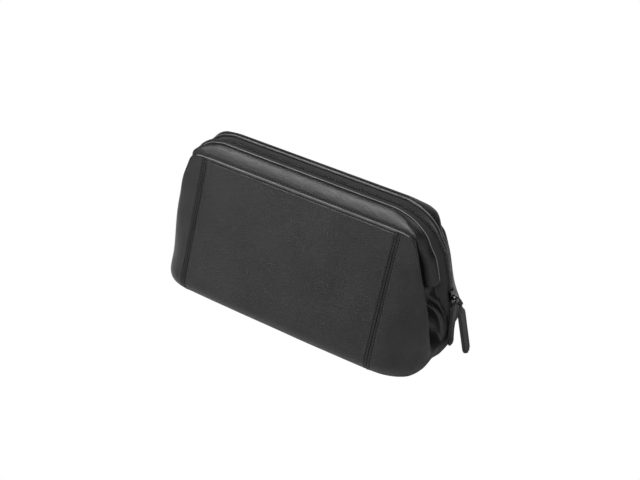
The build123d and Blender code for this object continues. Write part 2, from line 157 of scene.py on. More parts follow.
# Zip tape, over the hinge: half width and height on the top run and on the end runs.
TAPE_TOP = ((0.7, -0.8), (4.6, -0.8), (7.6, -0.8), (11.0, -1.1))
TAPE_LEG = ((0.7, -0.8), (4.4, -2.2), (7.6, -5.2), (12.6, -7.2))

# Zip tape below the hinge: height, distance inside the zip line, then half width and drop at the
# bend and at the outer edge.
TAPE_FEET = [
    (74.0, 0.0, 7.6, 4.7, 12.6, 6.4),
    (70.0, 0.0, 7.4, 4.6, 12.3, 6.2),
    (57.0, 0.0, 6.2, 4.0, 9.8, 5.2),
    (46.0, 0.9, 4.0, 2.6, 5.8, 3.2),
    (38.0, 2.3, 1.4, 0.4, 2.0, 0.6),
]

# Length, width and height of a tooth of the zip and of a stitch on the underside.
TOOTH_SIZE = (3.3, 1.35, 1.5)
BASE_STITCH_SIZE = (2.6, 0.6, 0.35)

# Depth of a stitch in the leather, and pitch of the stitches on the pull and on the tabs.
STITCH_SINK = 0.20
STRIP_PITCH = 2.6

# Zip pull: hinge of its ring on the slider, eye of the leather, and slope of the leather. The eye
# is drawn as a section of width and reach.
LINK_HINGE = Vector((141.06, 0, 57.788))
PULL_EYE = Vector((145.35, 0, 54.188))
PULL_SLOPE = radians(78.0)
EYE_SECTION = ((-1.75, 1.75), (-1.55, 1.9), (1.55, 1.9), (1.75, 1.75), (1.75, 0.95),
               (-1.75, 0.95))
LINK_HALF_WIDTH = 2.9
LINK_CORNER = 1.2
LINK_RADIUS = 0.65

# Tabs over the ends of the zip, as distance along the bag and height. The left one stands out.
TAB_LINES = {
    RIGHT: [(138.5, 50.2), (139.3, 46.0), (139.0, 34.0), (138.7, 22.0), (139.4, 9.0)],
    LEFT: [(138.5, 50.2), (140.4, 45.5), (145.0, 34.0), (149.9, 22.0), (155.2, 9.0)],
}

# Slider: distance below the hinge, then half outlines of its plate and of a rail, as travel along
# the zip and half width.
SLIDER_DROP = 10.5
SLIDER_PLATE = [(5.5, -2.2), (5.1, -3.0), (4.0, -3.4), (0.5, -3.6), (-2.6, -4.4), (-4.2, -4.4),
                (-5.3, -3.6), (-5.5, -2.2)]
SLIDER_RAIL = [(5.0, 3.3), (0.3, 3.6), (-2.6, 4.35), (-4.0, 4.35), (-4.0, 3.6), (-2.2, 3.3),
               (0.3, 2.9), (5.0, 2.6)]

# Finishes. Leather: strength of its colours and roughness. Woven: roughness, threads and bump.
# Plain: roughness, metal share and scale of its unevenness, then its spread and bump.
# The folded collar edges get colours sixteen times those of the leather: a painted highlight.
LEATHER_FINISHES = {"leather": (1.0, 0.37), "piping": (16.0, 0.26)}
WOVEN_FINISHES = {"tape": (0.62, 420.0, 0.5), "lining": (0.7, 330.0, 0.6)}
PLAIN_FINISHES = {
    "thread": (0.80, 0.0, 2500.0, 0.12, 0.25),
    "teeth": (0.32, 0.0, 900.0, 0.12, 0.25),
    "metal": (0.20, 1.0, 700.0, 0.12, 0.25),
    "steel": (0.28, 1.0, 800.0, 0.12, 0.25),
    "board": (0.85, 0.0, 500.0, 0.3, 0.6),
}
THREAD_SPECULAR = 0.08

# Bumps of the leather, as strength and height in metres, from the widest to the finest.
SOFT_BUMP = (0.30, 0.0005)
PEBBLE_BUMP = (0.36, 0.00028)
CELL_BUMP = (0.60, 0.00015)
FINE_BUMP = (0.20, 0.00003)
GRAIN_WARP = 0.0011

# Stage. The floor is in millimetres and the rest in metres, lamps as name, place, size and power.
FLOOR_REACH = 3000
LAMPS = (
    ("Top", (-0.20, -0.40, 1.05), (1.5, 0.34), 22.0),
    ("Left", (-0.74, -1.10, 0.44), (0.55, 0.16), 2.9),
    ("Right", (1.05, -0.75, 0.50), (0.4, 0.5), 1.8),
    ("Rear", (0.10, 1.25, 0.55), (0.9, 0.35), 3.5),
)
LAMP_TARGET = (0.0, 0.0, 0.07)
CAMERA_PLACE = (0.429415, -0.620311, 0.588254)
CAMERA_TURN = (radians(90.0 - 35.0), 0.0, radians(34.18))
CAMERA_LENS = 59.58


def length(name, description, value):
    """A length property, in metres."""
    return bpy.props.FloatProperty(
        name=name, description=description, default=value, unit="LENGTH")


class BagSizes(bpy.types.PropertyGroup):
    """Sizes of the bag, in metres"""
    panel_half_length: length("Panel half length", "Middle of the bag to the upright seams", 0.097)
    floor_half_width: length(
        "Floor half width", "Middle to where the underside starts to turn up", 0.0519)
    edge_radius: length("Lower edge radius", "Roll between the underside and the long walls", 0.012)
    seam_half_width: length(
        "Top seam half width", "Middle to the seam between wall and collar", 0.0213)
    seam_height: length("Top seam height", "Height of the seam between wall and collar", 0.1203)
    base_half_length: length("Base half length", "Middle to the ends of the base", 0.121)
    base_half_width: length("Base half width", "Middle to the long seams of the base", 0.045)
    base_corner: length("Base corner radius", "Corner radius of the base", 0.016)
    leather: length("Leather", "Thickness of the leather", 0.0013)
    lining: length("Lining", "Thickness of the lining", 0.0007)
    lining_depth: length(
        "Lining depth", "Lining surface under the outer face of the leather", 0.0017)
    zip_height: length("Zip height", "Height of the zip line on the top run", 0.130)
    zip_corner: length("Zip corner radius", "Radius of the zip line at the top corners", 0.027)
    pivot_height: length("Hinge height", "Height of the hinge axis of the frames", 0.070)
    leg_foot: length(
        "Zip at hinge height", "Middle of the bag to the zip line at the hinge", 0.1348)
    leg_lean: bpy.props.FloatProperty(
        name="Zip lean", description="Lean of the end runs of the zip from upright",
        default=radians(11.5), subtype="ANGLE")
    zip_sag: length("Zip sag", "Drop of the soft top from one end to the other", 0.0034)
    corner_drop: length(
        "Corner drop", "Drop of the soft top over the corners of the frames", 0.0042)
    corner_pinch: length(
        "Corner pinch", "Inward give of the soft top at the ends of the frames", 0.0040)
    stitch_pitch: length("Stitch pitch", "Distance from one stitch to the next", 0.0030)
    stitch_length: length("Stitch length", "Length of one stitch", 0.0019)
    stitch_width: length("Thread", "Thickness of the thread", 0.00068)
    stitch_row: length("Stitch row", "Distance of each stitch row from its seam", 0.0023)
    tooth_pitch: length("Tooth pitch", "Distance between teeth of one zip row", 0.0024)
    pull_length: length("Pull length", "Length of the leather pull from its ring", 0.048)
    pull_width: length("Pull width", "Width of the leather pull", 0.0105)
    pull_thickness: length("Pull thickness", "Thickness of the leather pull", 0.0024)
    tab_width: length("Tab width", "Width of the leather tabs on the zip ends", 0.012)
    tab_thickness: length("Tab thickness", "Thickness of the leather tabs", 0.0018)


def colour(name, description, value):
    """A colour property."""
    return bpy.props.FloatVectorProperty(
        name=name, description=description, subtype="COLOR", size=3, min=0.0, max=1.0,
        default=value)


class BagColours(bpy.types.PropertyGroup):
    """Colours of the bag"""
    leather_dark: colour("Leather", "Main colour of the leather", (0.0075, 0.0075, 0.0078))
    leather_light: colour(
        "Worn leather", "Lighter patches of the leather", (0.0135, 0.0130, 0.0130))
    thread: colour("Thread", "Colour of the stitching", (0.0040, 0.0040, 0.0042))
    tape: colour("Zip tape", "Colour of the woven tape", (0.013, 0.013, 0.0135))
    teeth: colour("Zip teeth", "Colour of the zip coil", (0.016, 0.016, 0.017))
    lining: colour("Lining", "Colour of the lining cloth", (0.055, 0.053, 0.052))
    metal: colour("Dark metal", "Colour of the slider and its ring", (0.11, 0.108, 0.105))
    steel: colour("Spring steel", "Colour of the frame wires and rivets", (0.42, 0.42, 0.43))
    board: colour("Board", "Colour of the base board", (0.16, 0.13, 0.10))


class Measures:
    """Sizes in millimetres, read from the property group."""

    def __init__(self):
        group = bpy.context.scene.wash_bag_sizes
        for name in BagSizes.__annotations__:
            value = getattr(group, name)
            setattr(self, name, value if name == "leg_lean" else value / MM)
        dy = self.floor_half_width - self.seam_half_width
        dz = self.seam_height - self.edge_radius
        reach = sqrt(dy * dy + dz * dz - self.edge_radius ** 2)
        self.lean = atan2(dy, dz) + atan2(self.edge_radius, reach)
        self.wall_y = self.floor_half_width + self.edge_radius * cos(self.lean)
        self.wall_z = self.edge_radius * (1.0 + sin(self.lean))


# Plain geometry

def mix(a, b, share):
    """Value between a and b."""
    return a + (b - a) * share


def smooth_share(value, low, high):
    """0 below low, 1 above high, with a smooth turn between them."""
    share = min(1.0, max(0.0, (value - low) / (high - low)))
    return share * share * (3.0 - 2.0 * share)


def monotone(xs, ys, x):
    """Smooth curve through points that never overshoots them."""
    count = len(xs)
    if x <= xs[0]:
        return ys[0]
    if x >= xs[-1]:
        return ys[-1]
    slopes = [(ys[n + 1] - ys[n]) / (xs[n + 1] - xs[n]) for n in range(count - 1)]
    ends = [slopes[0]]
    for n in range(1, count - 1):
        a, b = slopes[n - 1], slopes[n]
        ends.append(0.0 if a * b <= 0 else 2.0 * a * b / (a + b))
    ends.append(slopes[-1])
    n = max(k for k in range(count - 1) if xs[k] <= x)
    width = xs[n + 1] - xs[n]
    t = (x - xs[n]) / width
    return ((2 * t ** 3 - 3 * t ** 2 + 1) * ys[n] + (t ** 3 - 2 * t ** 2 + t) * width * ends[n]
            + (3 * t ** 2 - 2 * t ** 3) * ys[n + 1] + (t ** 3 - t ** 2) * width * ends[n + 1])


def rounded_line(points, steps, before=None):
    """Smooth line through the points, with steps[n] pieces in span n. It may be led in from a
    point before the first one."""
    points = [Vector(p) for p in points]
    lead = Vector(before) if before else 2 * points[0] - points[1]
    padded = [lead] + points + [2 * points[-1] - points[-2]]
    line = []
    for n in range(len(points) - 1):
        p0, p1, p2, p3 = padded[n:n + 4]
        t1 = max(1e-6, (p1 - p0).length) ** 0.5
        t2 = t1 + max(1e-6, (p2 - p1).length) ** 0.5
        t3 = t2 + max(1e-6, (p3 - p2).length) ** 0.5
        for k in range(steps[n]):
            t = mix(t1, t2, k / steps[n])
            a1 = p0 * ((t1 - t) / t1) + p1 * (t / t1)
            a2 = p1 * ((t2 - t) / (t2 - t1)) + p2 * ((t - t1) / (t2 - t1))
            a3 = p2 * ((t3 - t) / (t3 - t2)) + p3 * ((t - t2) / (t3 - t2))
            b1 = a1 * ((t2 - t) / t2) + a2 * (t / t2)
            b2 = a2 * ((t3 - t) / (t3 - t1)) + a3 * ((t - t1) / (t3 - t1))
            line.append(b1 * ((t2 - t) / (t2 - t1)) + b2 * ((t - t1) / (t2 - t1)))
    line.append(points[-1])
    return line


def way_at(line, n):
    """Direction of a line at one of its points."""
    return (line[min(len(line) - 1, n + 1)] - line[max(0, n - 1)]).normalized()


def line_length(line):
    """Length of a line of points."""
    return sum((line[n + 1] - line[n]).length for n in range(len(line) - 1))


def rounded_corners(core_x, core_y, radius, steps):
    """Outline of a rounded rectangle, as corner centre and reach from it at each point."""
    ring = []
    for quarter in range(4):
        cx = core_x if quarter in (0, 3) else -core_x
        cy = core_y if quarter in (0, 1) else -core_y
        for step in range(steps + 1):
            angle = pi / 2 * (quarter + step / steps)
            ring.append((cx, cy, radius * cos(angle), radius * sin(angle)))
    return ring


def side_step(line, depth):
    """A line in a plane moved to its right-hand side."""
    moved = []
    for n, point in enumerate(line):
        a = line[max(0, n - 1)]
        b = line[min(len(line) - 1, n + 1)]
        dx, dy = b[0] - a[0], b[1] - a[1]
        size = max(1e-9, hypot(dx, dy))
        moved.append(Vector((point[0] + dy / size * depth, point[1] - dx / size * depth)))
    return moved


def spaced(low, high, fine, fine_width, coarse):
    """Steps from low to high, fine near both ends."""
    near = []
    place = 0.0
    while place < fine_width:
        near.append(place)
        place += fine * (1.0 + 1.6 * place / fine_width)
    count = max(1, round((high - low - 2 * place) / coarse))
    middle = [mix(low + place, high - place, k / count) for k in range(count + 1)]
    return [low + p for p in near] + middle + [high - p for p in reversed(near)]


# Shape of the bag

def settle(m, point):
    """Soft sag of the whole top: the right end stands lower than the left."""
    x, y, z = point
    along = 0.5 - x / (2.0 * (m.panel_half_length + SAG_OVERHANG))
    sag = m.zip_sag * (min(1.1, max(-0.1, along)) - SAG_LEVEL)
    reach = abs(x)
    corner = smooth_share(reach, *DROP_REACH)
    corner *= 1.0 - 0.5 * smooth_share(reach, *DROP_EASE_REACH)
    corner *= mix(1.0, DROP_AT_SEAM, smooth_share(abs(y), *DROP_WIDTHS))
    pinch = smooth_share(reach, *PINCH_REACH) * smooth_share(z, *PINCH_HEIGHTS)
    pinch *= m.corner_pinch * (1.0 - smooth_share(-y, *PINCH_FRONT_WIDTHS))
    rise = smooth_share(z, *SAG_HEIGHTS) * (sag - m.corner_drop * corner)
    return Vector((x - copysign(pinch, x), y, z + rise))


def wall_half_width(m, z):
    """Half width of the bag at the long walls."""
    if z >= m.wall_z:
        return m.wall_y - (z - m.wall_z) * tan(m.lean)
    rise = m.edge_radius - z
    return m.floor_half_width + sqrt(max(0.0, m.edge_radius ** 2 - rise ** 2))


def wall_track(m, depth, low_cut, high_cut):
    """Profile of a long wall from the base seam to the top seam: half width, height and the
    outward direction of each point."""
    track = []
    flat = m.floor_half_width - m.base_half_width - low_cut
    for p in (0.0, 0.25, 0.6, 1.1, 2.0, 3.2, 5.0):
        if p < flat:
            track.append((m.base_half_width + low_cut + p, depth, 0.0, -1.0))
    radius = m.edge_radius - depth
    turns = 12
    for step in range(turns + 1):
        angle = (pi / 2 + m.lean) * step / turns
        nb, nz = sin(angle), -cos(angle)
        track.append((m.floor_half_width + radius * nb, m.edge_radius + radius * nz, nb, nz))
    nb, nz = cos(m.lean), sin(m.lean)
    b0 = m.wall_y - nb * depth
    z0 = m.wall_z - nz * depth
    rise = (m.seam_height - high_cut - z0) / cos(m.lean)
    fine_width = 5.0
    for s in spaced(0.0, rise, 0.3, fine_width, 2.2):
        if s > fine_width:
            track.append((b0 - s * sin(m.lean), z0 + s * cos(m.lean), nb, nz))
    return track


def waves_at(waves, distance):
    """Depth of a row of waves in the leather, at a distance from an edge."""
    return sum(depth * exp(-((distance - place) / width) ** 2) for depth, place, width in waves)


def seam_dent(distance):
    """How far leather sinks beside a sewn seam, at a distance from it."""
    return waves_at(SEAM_WAVES, abs(distance))


def wall_swell(m, x, z, side):
    """Soft shape of a long wall, outward from its plane."""
    across = max(0.0, 1.0 - (x / m.panel_half_length) ** 2) ** 0.7
    up = max(0.0, sin(pi * min(1.0, max(0.0, z / m.seam_height)) ** 0.8))
    waves = sum(height * sin(x * along + z * rise + start + side * shift)
                for height, along, rise, start, shift in WALL_WAVES)
    return WALL_CROWN * across * up ** 0.9 + waves * across * up


def crest_at(crest, z, shift):
    """Distance outside the seam and half width of a pleat at a height."""
    zs = [p[0] for p in crest]
    b = monotone(zs, [p[1] for p in crest], z)
    x = monotone(zs, [p[2] for p in crest], z)
    return x + shift * smooth_share(b, 2.0, 14.0), b


def fold_anchors(z, shift, fold, edge, middle):
    """Points of one end from the bottom of its fold to the edge beside the collar. The pleats
    rise out of the fold in its lower part."""
    plain = [(mix(fold[0], edge[0], t), mix(fold[1], edge[1], t)) for t in (0.22, 0.42, 0.6, 0.8)]
    outer = crest_at(OUTER_PLEAT, z, shift)
    inner = crest_at(INNER_PLEAT, z, shift)
    foot = (max(fold[0], outer[0] - PLEAT_FALL), outer[1] + PLEAT_FOOT)
    valley = (min(inner[0], outer[0]) - PLEAT_VALLEY, mix(inner[1], outer[1], 0.5))
    share = smooth_share(z, 8.0, 24.0) * (1.0 - smooth_share(z, 60.0, 70.0))
    made = [(mix(a[0], b[0], share), mix(a[1], b[1], share))
            for a, b in zip(plain, (foot, outer, valley, inner))]
    end = (mix(edge[0], middle - 1.2, share), mix(edge[1], inner[1] * 0.45, share))
    return [fold] + made + [end]


def end_values(z):
    """Sizes of the end at one height."""
    heights = [row[0] for row in END_ROWS]
    return [monotone(heights, [row[k] for row in END_ROWS], z) for k in range(1, 8)]


def end_section(m, z, lean, depth, side):
    """Line across one end at a height, from the front seam to the middle, as distance along the
    bag and half width."""
    ridge, ridge_b, fold, fold_b, edge, edge_b, middle = end_values(z)
    swell = monotone([p[0] for p in lean], [p[1] for p in lean], z)
    ridge += swell
    fold += swell * mix(0.8, 0.35, smooth_share(z, 10.0, 40.0))
    seam = wall_half_width(m, z)
    drop = seam - ridge_b
    x0 = m.panel_half_length
    anchors = [(x0, seam)]
    for share in RIDGE_SHARES:
        anchors.append((x0 + ridge * share, seam - drop * (1.0 - sqrt(1.0 - share * share))))
    anchors.append((x0 + ridge, ridge_b))
    for x, b in fold_anchors(z, swell - PLEAT_SHIFT, (fold, fold_b), (edge, edge_b), middle):
        anchors.append((x0 + x, b))
    line = rounded_line(anchors, END_STEPS, (x0 - SEAM_LEAD, seam))
    below_hinge = z <= m.pivot_height + 0.01
    steps = END_STEPS[0]
    even = list(line[:steps + 1])
    for k in range(1, steps):
        t = steps * (k / steps) ** 1.6
        n = int(t)
        line[k] = even[n].lerp(even[n + 1], t - n)
    out = []
    for k, (x, b) in enumerate(line):
        near = x - x0
        dent = seam_dent(near) if k <= steps else 0.0
        b -= dent * cos(m.lean) if z > m.wall_z else dent * 0.8
        share = smooth_share(near, 8.0, 20.0) * smooth_share(z, 8.0, 30.0)
        share *= 1.0 - smooth_share(z, 96.0, 112.0)
        b += share * 0.55 * sin(z * 0.12 + near * 0.11 + side) * smooth_share(b, 22.0, 32.0)
        out.append(Vector((x, b)))
    flat = x0 + middle
    last = out[-1]
    if below_hinge:
        for k in range(1, MIDDLE_STEPS + 1):
            share = k / MIDDLE_STEPS
            out.append(Vector((mix(last.x, flat, sin(share * pi / 2)), last.y * (1.0 - share))))
    if depth:
        moved = side_step(out, depth)
        if below_hinge:
            moved[-1] = Vector((out[-1].x - depth, 0.0))
        out = [Vector((max(p.x, x0), p.y)) for p in moved]
    return out


def base_point(m, x, b):
    """Nearest point on the seam of the base."""
    core_x = m.base_half_length - m.base_corner
    core_b = m.base_half_width - m.base_corner
    near = Vector((min(x, core_x), min(b, core_b)))
    away = Vector((x, b)) - near
    return near + away.normalized() * m.base_corner


def zip_stations(m, foot):
    """Points along the zip from a foot height on the left to the same height on the right: place,
    outward direction, travel, and 0 on the top run rising to 1 on the end runs."""
    lean = m.leg_lean
    radius = m.zip_corner
    centre_z = m.zip_height - radius
    centre_x = m.leg_foot - (radius + (centre_z - m.pivot_height) * sin(lean)) / cos(lean)
    right = []
    top_steps = 36
    for k in range(top_steps):
        right.append((centre_x * k / top_steps, m.zip_height, 0.0, 1.0, 0.0))
    turns = 18
    for k in range(turns + 1):
        share = k / turns
        angle = pi / 2 + (lean - pi / 2) * share
        right.append((centre_x + radius * cos(angle), centre_z + radius * sin(angle),
                      cos(angle), sin(angle), share))
    top_x, top_z = right[-1][0], right[-1][1]
    foot_x = m.leg_foot - (foot - m.pivot_height) * tan(lean)
    count = max(2, round((top_z - foot) / 2.2))
    for k in range(1, count + 1):
        share = k / count
        right.append((mix(top_x, foot_x, share), mix(top_z, foot, share),
                      cos(lean), sin(lean), 1.0))
    left = [(-x, z, -nx, nz, share) for x, z, nx, nz, share in reversed(right[1:])]
    return left + right


def band_line(top, leg, shares, steps):
    """Section line between the top one and the end one, smooth, with a share for each point."""
    anchors = [(mix(t[0], g[0], s), mix(t[1], g[1], s)) for t, g, s in zip(top, leg, shares)]
    return rounded_line(anchors, [steps] * (len(anchors) - 1))


def collar_line(share):
    """Outer line of a collar across the zip, from its rolled zip edge to its tucked seam edge. The
    seam side turns later into the end run."""
    late = smooth_share(share, 0.35, 1.0)
    seam_side = len(COLLAR_TOP) // 2
    turn = [mix(share, late, min(1.0, n / seam_side)) for n in range(len(COLLAR_TOP))]
    line = band_line(COLLAR_TOP, COLLAR_LEG, turn, 5)
    shaped = []
    whole = line_length(line)
    travel = 0.0
    for n, point in enumerate(line):
        if n:
            travel += (line[n] - line[n - 1]).length
        dent = COLLAR_DENT * seam_dent(whole - travel) + waves_at(ZIP_EDGE_WAVES, travel)
        way = way_at(line, n)
        shaped.append(Vector((point.x + way.y * dent, point.y - way.x * dent)))
    return shaped


def collar_ring(share):
    """Closed section of a collar."""
    line = collar_line(share)
    first = line[0]
    roll = [Vector((first.x + 1.5, first.y - 1.9)), Vector((first.x + 0.3, first.y - 1.7)),
            Vector((first.x - 0.35, first.y - 1.1)), Vector((first.x - 0.4, first.y - 0.45))]
    last = line[-1]
    tuck = [Vector((last.x - 0.25, last.y - 0.5)), Vector((last.x - 0.9, last.y - 0.9))]
    inner = side_step(line, 1.35)[3:-2]
    return roll + line + tuck + list(reversed(inner))


# Meshes

def new_piece(name, verts, faces):
    """A piece from points in millimetres. Its place is in the mesh."""
    mesh = bpy.data.meshes.new(name)
    mesh.from_pydata([tuple(c * MM for c in v) for v in verts], [], faces)
    mesh.validate()
    obj = bpy.data.objects.new(name, mesh)
    bpy.context.scene.collection.objects.link(obj)
    return obj


def shade(obj, angle=50.0, weld=0.0):
    """Joins doubled points, turns faces outward and shades the piece smooth up to an angle."""
    bm = bmesh.new()
    bm.from_mesh(obj.data)
    if weld:
        bmesh.ops.remove_doubles(bm, verts=bm.verts, dist=weld * MM)
    bmesh.ops.recalc_face_normals(bm, faces=bm.faces)
    limit = radians(angle)
    for face in bm.faces:
        face.smooth = True
    for edge in bm.edges:
        if len(edge.link_faces) == 2:
            edge.smooth = edge.calc_face_angle(0.0) < limit
    bm.to_mesh(obj.data)
    bm.free()
    return obj


def grid_faces(rows, columns, closed=False, looped=False):
    """Faces of a grid of points. Closed grids join the last column to the first, looped ones the
    last row."""
    faces = []
    for r in range(rows if looped else rows - 1):
        a = r * columns
        b = (r + 1) % rows * columns
        for c in range(columns if closed else columns - 1):
            d = (c + 1) % columns
            faces.append((a + c, a + d, b + d, b + c))
    return faces


def thicken(verts, faces, depth, inside):
    """Gives an open sheet a thickness towards the inside point, in millimetres."""
    bm = bmesh.new()
    made = [bm.verts.new(v) for v in verts]
    for f in faces:
        corners = [made[n] for n in f]
        if len(set(corners)) == len(corners):
            bm.faces.new(corners)
    bmesh.ops.remove_doubles(bm, verts=bm.verts, dist=0.02)
    bmesh.ops.recalc_face_normals(bm, faces=bm.faces)
    centre = Vector(inside)
    turn = sum(f.normal.dot(f.calc_center_median() - centre) * f.calc_area() for f in bm.faces)
    if turn < 0:
        bmesh.ops.reverse_faces(bm, faces=bm.faces)
    bm.normal_update()
    bm.verts.ensure_lookup_table()
    bm.verts.index_update()
    outer = [v.co.copy() for v in bm.verts]
    inner = [v.co - v.normal * depth for v in bm.verts]
    count = len(outer)
    shell = [tuple(v.index for v in f.verts) for f in bm.faces]
    shell += [tuple(count + n for n in reversed(f)) for f in list(shell)]
    for edge in bm.edges:
        if len(edge.link_faces) == 1:
            loop = edge.link_loops[0]
            a, b = loop.vert.index, loop.link_loop_next.vert.index
            shell.append((b, a, count + a, count + b))
    bm.free()
    return outer + inner, shell


def sweep(rings):
    """Joins closed rings of the same number of points and closes both ends."""
    columns = len(rings[0])
    verts = [p for ring in rings for p in ring]
    faces = grid_faces(len(rings), columns, True)
    for n, ring in ((0, rings[0]), (len(rings) - 1, rings[-1])):
        middle = len(verts)
        verts.append(sum(ring, Vector((0, 0, 0))) / columns)
        for c in range(columns):
            a = n * columns + c
            b = n * columns + (c + 1) % columns
            faces.append((a, b, middle) if n == 0 else (b, a, middle))
    return verts, faces


# Repeated small things

SHAPE_RINGS = {"stitch": 5, "tooth": 6}

def row_tree(shape, rings):
    """Node tree that puts one small rounded shape on every point of a mesh. The points carry the
    directions along the row and outward."""
    tree = bpy.data.node_groups.new(shape, "GeometryNodeTree")
    face = tree.interface
    face.new_socket(name="Geometry", in_out="INPUT", socket_type="NodeSocketGeometry")
    for label in ("Length", "Width", "Height"):
        face.new_socket(name=label, in_out="INPUT", socket_type="NodeSocketFloat")
    face.new_socket(name="Material", in_out="INPUT", socket_type="NodeSocketMaterial")
    face.new_socket(name="Geometry", in_out="OUTPUT", socket_type="NodeSocketGeometry")
    nodes = tree.nodes
    link = tree.links.new
    start = nodes.new("NodeGroupInput")
    end = nodes.new("NodeGroupOutput")
    small = nodes.new("GeometryNodeMeshUVSphere")
    small.inputs["Segments"].default_value = 8
    small.inputs["Rings"].default_value = rings
    small.inputs["Radius"].default_value = 0.5
    size = nodes.new("ShaderNodeCombineXYZ")
    for label, axis in (("Length", "X"), ("Width", "Y"), ("Height", "Z")):
        link(start.outputs[label], size.inputs[axis])
    turn = nodes.new("GeometryNodeTransform")
    link(small.outputs["Mesh"], turn.inputs["Geometry"])
    link(size.outputs["Vector"], turn.inputs["Scale"])
    turned = None
    for label, axis, pivot in (("along", "X", "AUTO"), ("outward", "Z", "X")):
        way = nodes.new("GeometryNodeInputNamedAttribute")
        way.data_type = "FLOAT_VECTOR"
        way.inputs["Name"].default_value = label
        align = nodes.new("FunctionNodeAlignRotationToVector")
        align.axis = axis
        align.pivot_axis = pivot
        link(way.outputs["Attribute"], align.inputs["Vector"])
        if turned is not None:
            link(turned, align.inputs["Rotation"])
        turned = align.outputs["Rotation"]
    put = nodes.new("GeometryNodeInstanceOnPoints")
    real = nodes.new("GeometryNodeRealizeInstances")
    smooth = nodes.new("GeometryNodeSetShadeSmooth")
    finish = nodes.new("GeometryNodeSetMaterial")
    link(start.outputs["Geometry"], put.inputs["Points"])
    link(turn.outputs["Geometry"], put.inputs["Instance"])
    link(turned, put.inputs["Rotation"])
    link(put.outputs["Instances"], real.inputs["Geometry"])
    link(real.outputs["Geometry"], smooth.inputs["Geometry"])
    link(smooth.outputs["Geometry"], finish.inputs["Geometry"])
    link(start.outputs["Material"], finish.inputs["Material"])
    link(finish.outputs["Geometry"], end.inputs["Geometry"])
    return tree


def repeat(name, places, shape, size, key):
    """One piece made of a small shape at every place. A place is a point, the direction along
    the row and the direction outward, in millimetres."""
    mesh = bpy.data.meshes.new(name + "_points")
    mesh.from_pydata([tuple(c * MM for c in place[0]) for place in places], [], [])
    for label, index in (("along", 1), ("outward", 2)):
        data = mesh.attributes.new(label, "FLOAT_VECTOR", "POINT")
        flat = [c for place in places for c in place[index].normalized()]
        data.data.foreach_set("vector", flat)
    points = bpy.data.objects.new(name + "_points", mesh)
    bpy.context.scene.collection.objects.link(points)
    tree = bpy.data.node_groups.get(shape) or row_tree(shape, SHAPE_RINGS[shape])
    modifier = points.modifiers.new("Row", "NODES")
    modifier.node_group = tree
    keys = {item.name: item.identifier for item in tree.interface.items_tree
            if item.in_out == "INPUT"}
    for label, value in zip(("Length", "Width", "Height"), size):
        modifier[keys[label]] = value * MM
    modifier[keys["Material"]] = material_of(key)
    bpy.context.view_layer.update()
    graph = bpy.context.evaluated_depsgraph_get()
    plain = bpy.data.meshes.new_from_object(points.evaluated_get(graph))
    obj = bpy.data.objects.new(name, plain)
    bpy.context.scene.collection.objects.link(obj)
    bpy.data.objects.remove(points)
    if not plain.vertices:
        raise RuntimeError(name + " has no points")
    return obj


def along_line(line, outs, pitch, lift=0.0, start=0.5):
    """Places at even steps on a line of points."""
    places = []
    travel = pitch * start
    done = 0.0
    for n in range(len(line) - 1):
        a, b = line[n], line[n + 1]
        size = (b - a).length
        while size > 1e-9 and travel <= done + size:
            share = (travel - done) / size
            out = outs[n].lerp(outs[n + 1], share).normalized()
            places.append((a.lerp(b, share) + out * lift, (b - a).normalized(), out))
            travel += pitch
        done += size
    return places


# Materials

def new_material(name, roughness, metallic=0.0):
    """A material with its shader, node list and linker."""
    material = bpy.data.materials.new(name)
    material.use_nodes = True
    nodes = material.node_tree.nodes
    shader = nodes["Principled BSDF"]
    shader.inputs["Roughness"].default_value = roughness
    shader.inputs["Metallic"].default_value = metallic
    return material, shader, nodes, material.node_tree.links.new


def object_place(nodes):
    """Texture coordinates of the piece itself."""
    return nodes.new("ShaderNodeTexCoord").outputs["Object"]


def ramp(nodes, link, value, low, high, first=0.0, second=1.0):
    """A value stretched from low..high to first..second."""
    node = nodes.new("ShaderNodeMapRange")
    node.inputs["From Min"].default_value = low
    node.inputs["From Max"].default_value = high
    node.inputs["To Min"].default_value = first
    node.inputs["To Max"].default_value = second
    link(value, node.inputs["Value"])
    return node.outputs["Result"]


def noise(nodes, link, vector, scale, detail=4.0, rough=0.55):
    """A noise texture."""
    node = nodes.new("ShaderNodeTexNoise")
    node.inputs["Scale"].default_value = scale
    node.inputs["Detail"].default_value = detail
    node.inputs["Roughness"].default_value = rough
    link(vector, node.inputs["Vector"])
    return node


def blend_colour(nodes, link, factor, first, second):
    """A mix of two colours."""
    node = nodes.new("ShaderNodeMix")
    node.data_type = "RGBA"
    node.inputs[6].default_value = (*first, 1.0)
    node.inputs[7].default_value = (*second, 1.0)
    link(factor, node.inputs[0])
    return node.outputs[2]


def bump(nodes, link, height, strength, distance, before=None):
    """A bump node on top of another one."""
    node = nodes.new("ShaderNodeBump")
    node.inputs["Strength"].default_value = strength
    node.inputs["Distance"].default_value = distance
    link(height, node.inputs["Height"])
    if before is not None:
        link(before, node.inputs["Normal"])
    return node.outputs["Normal"]


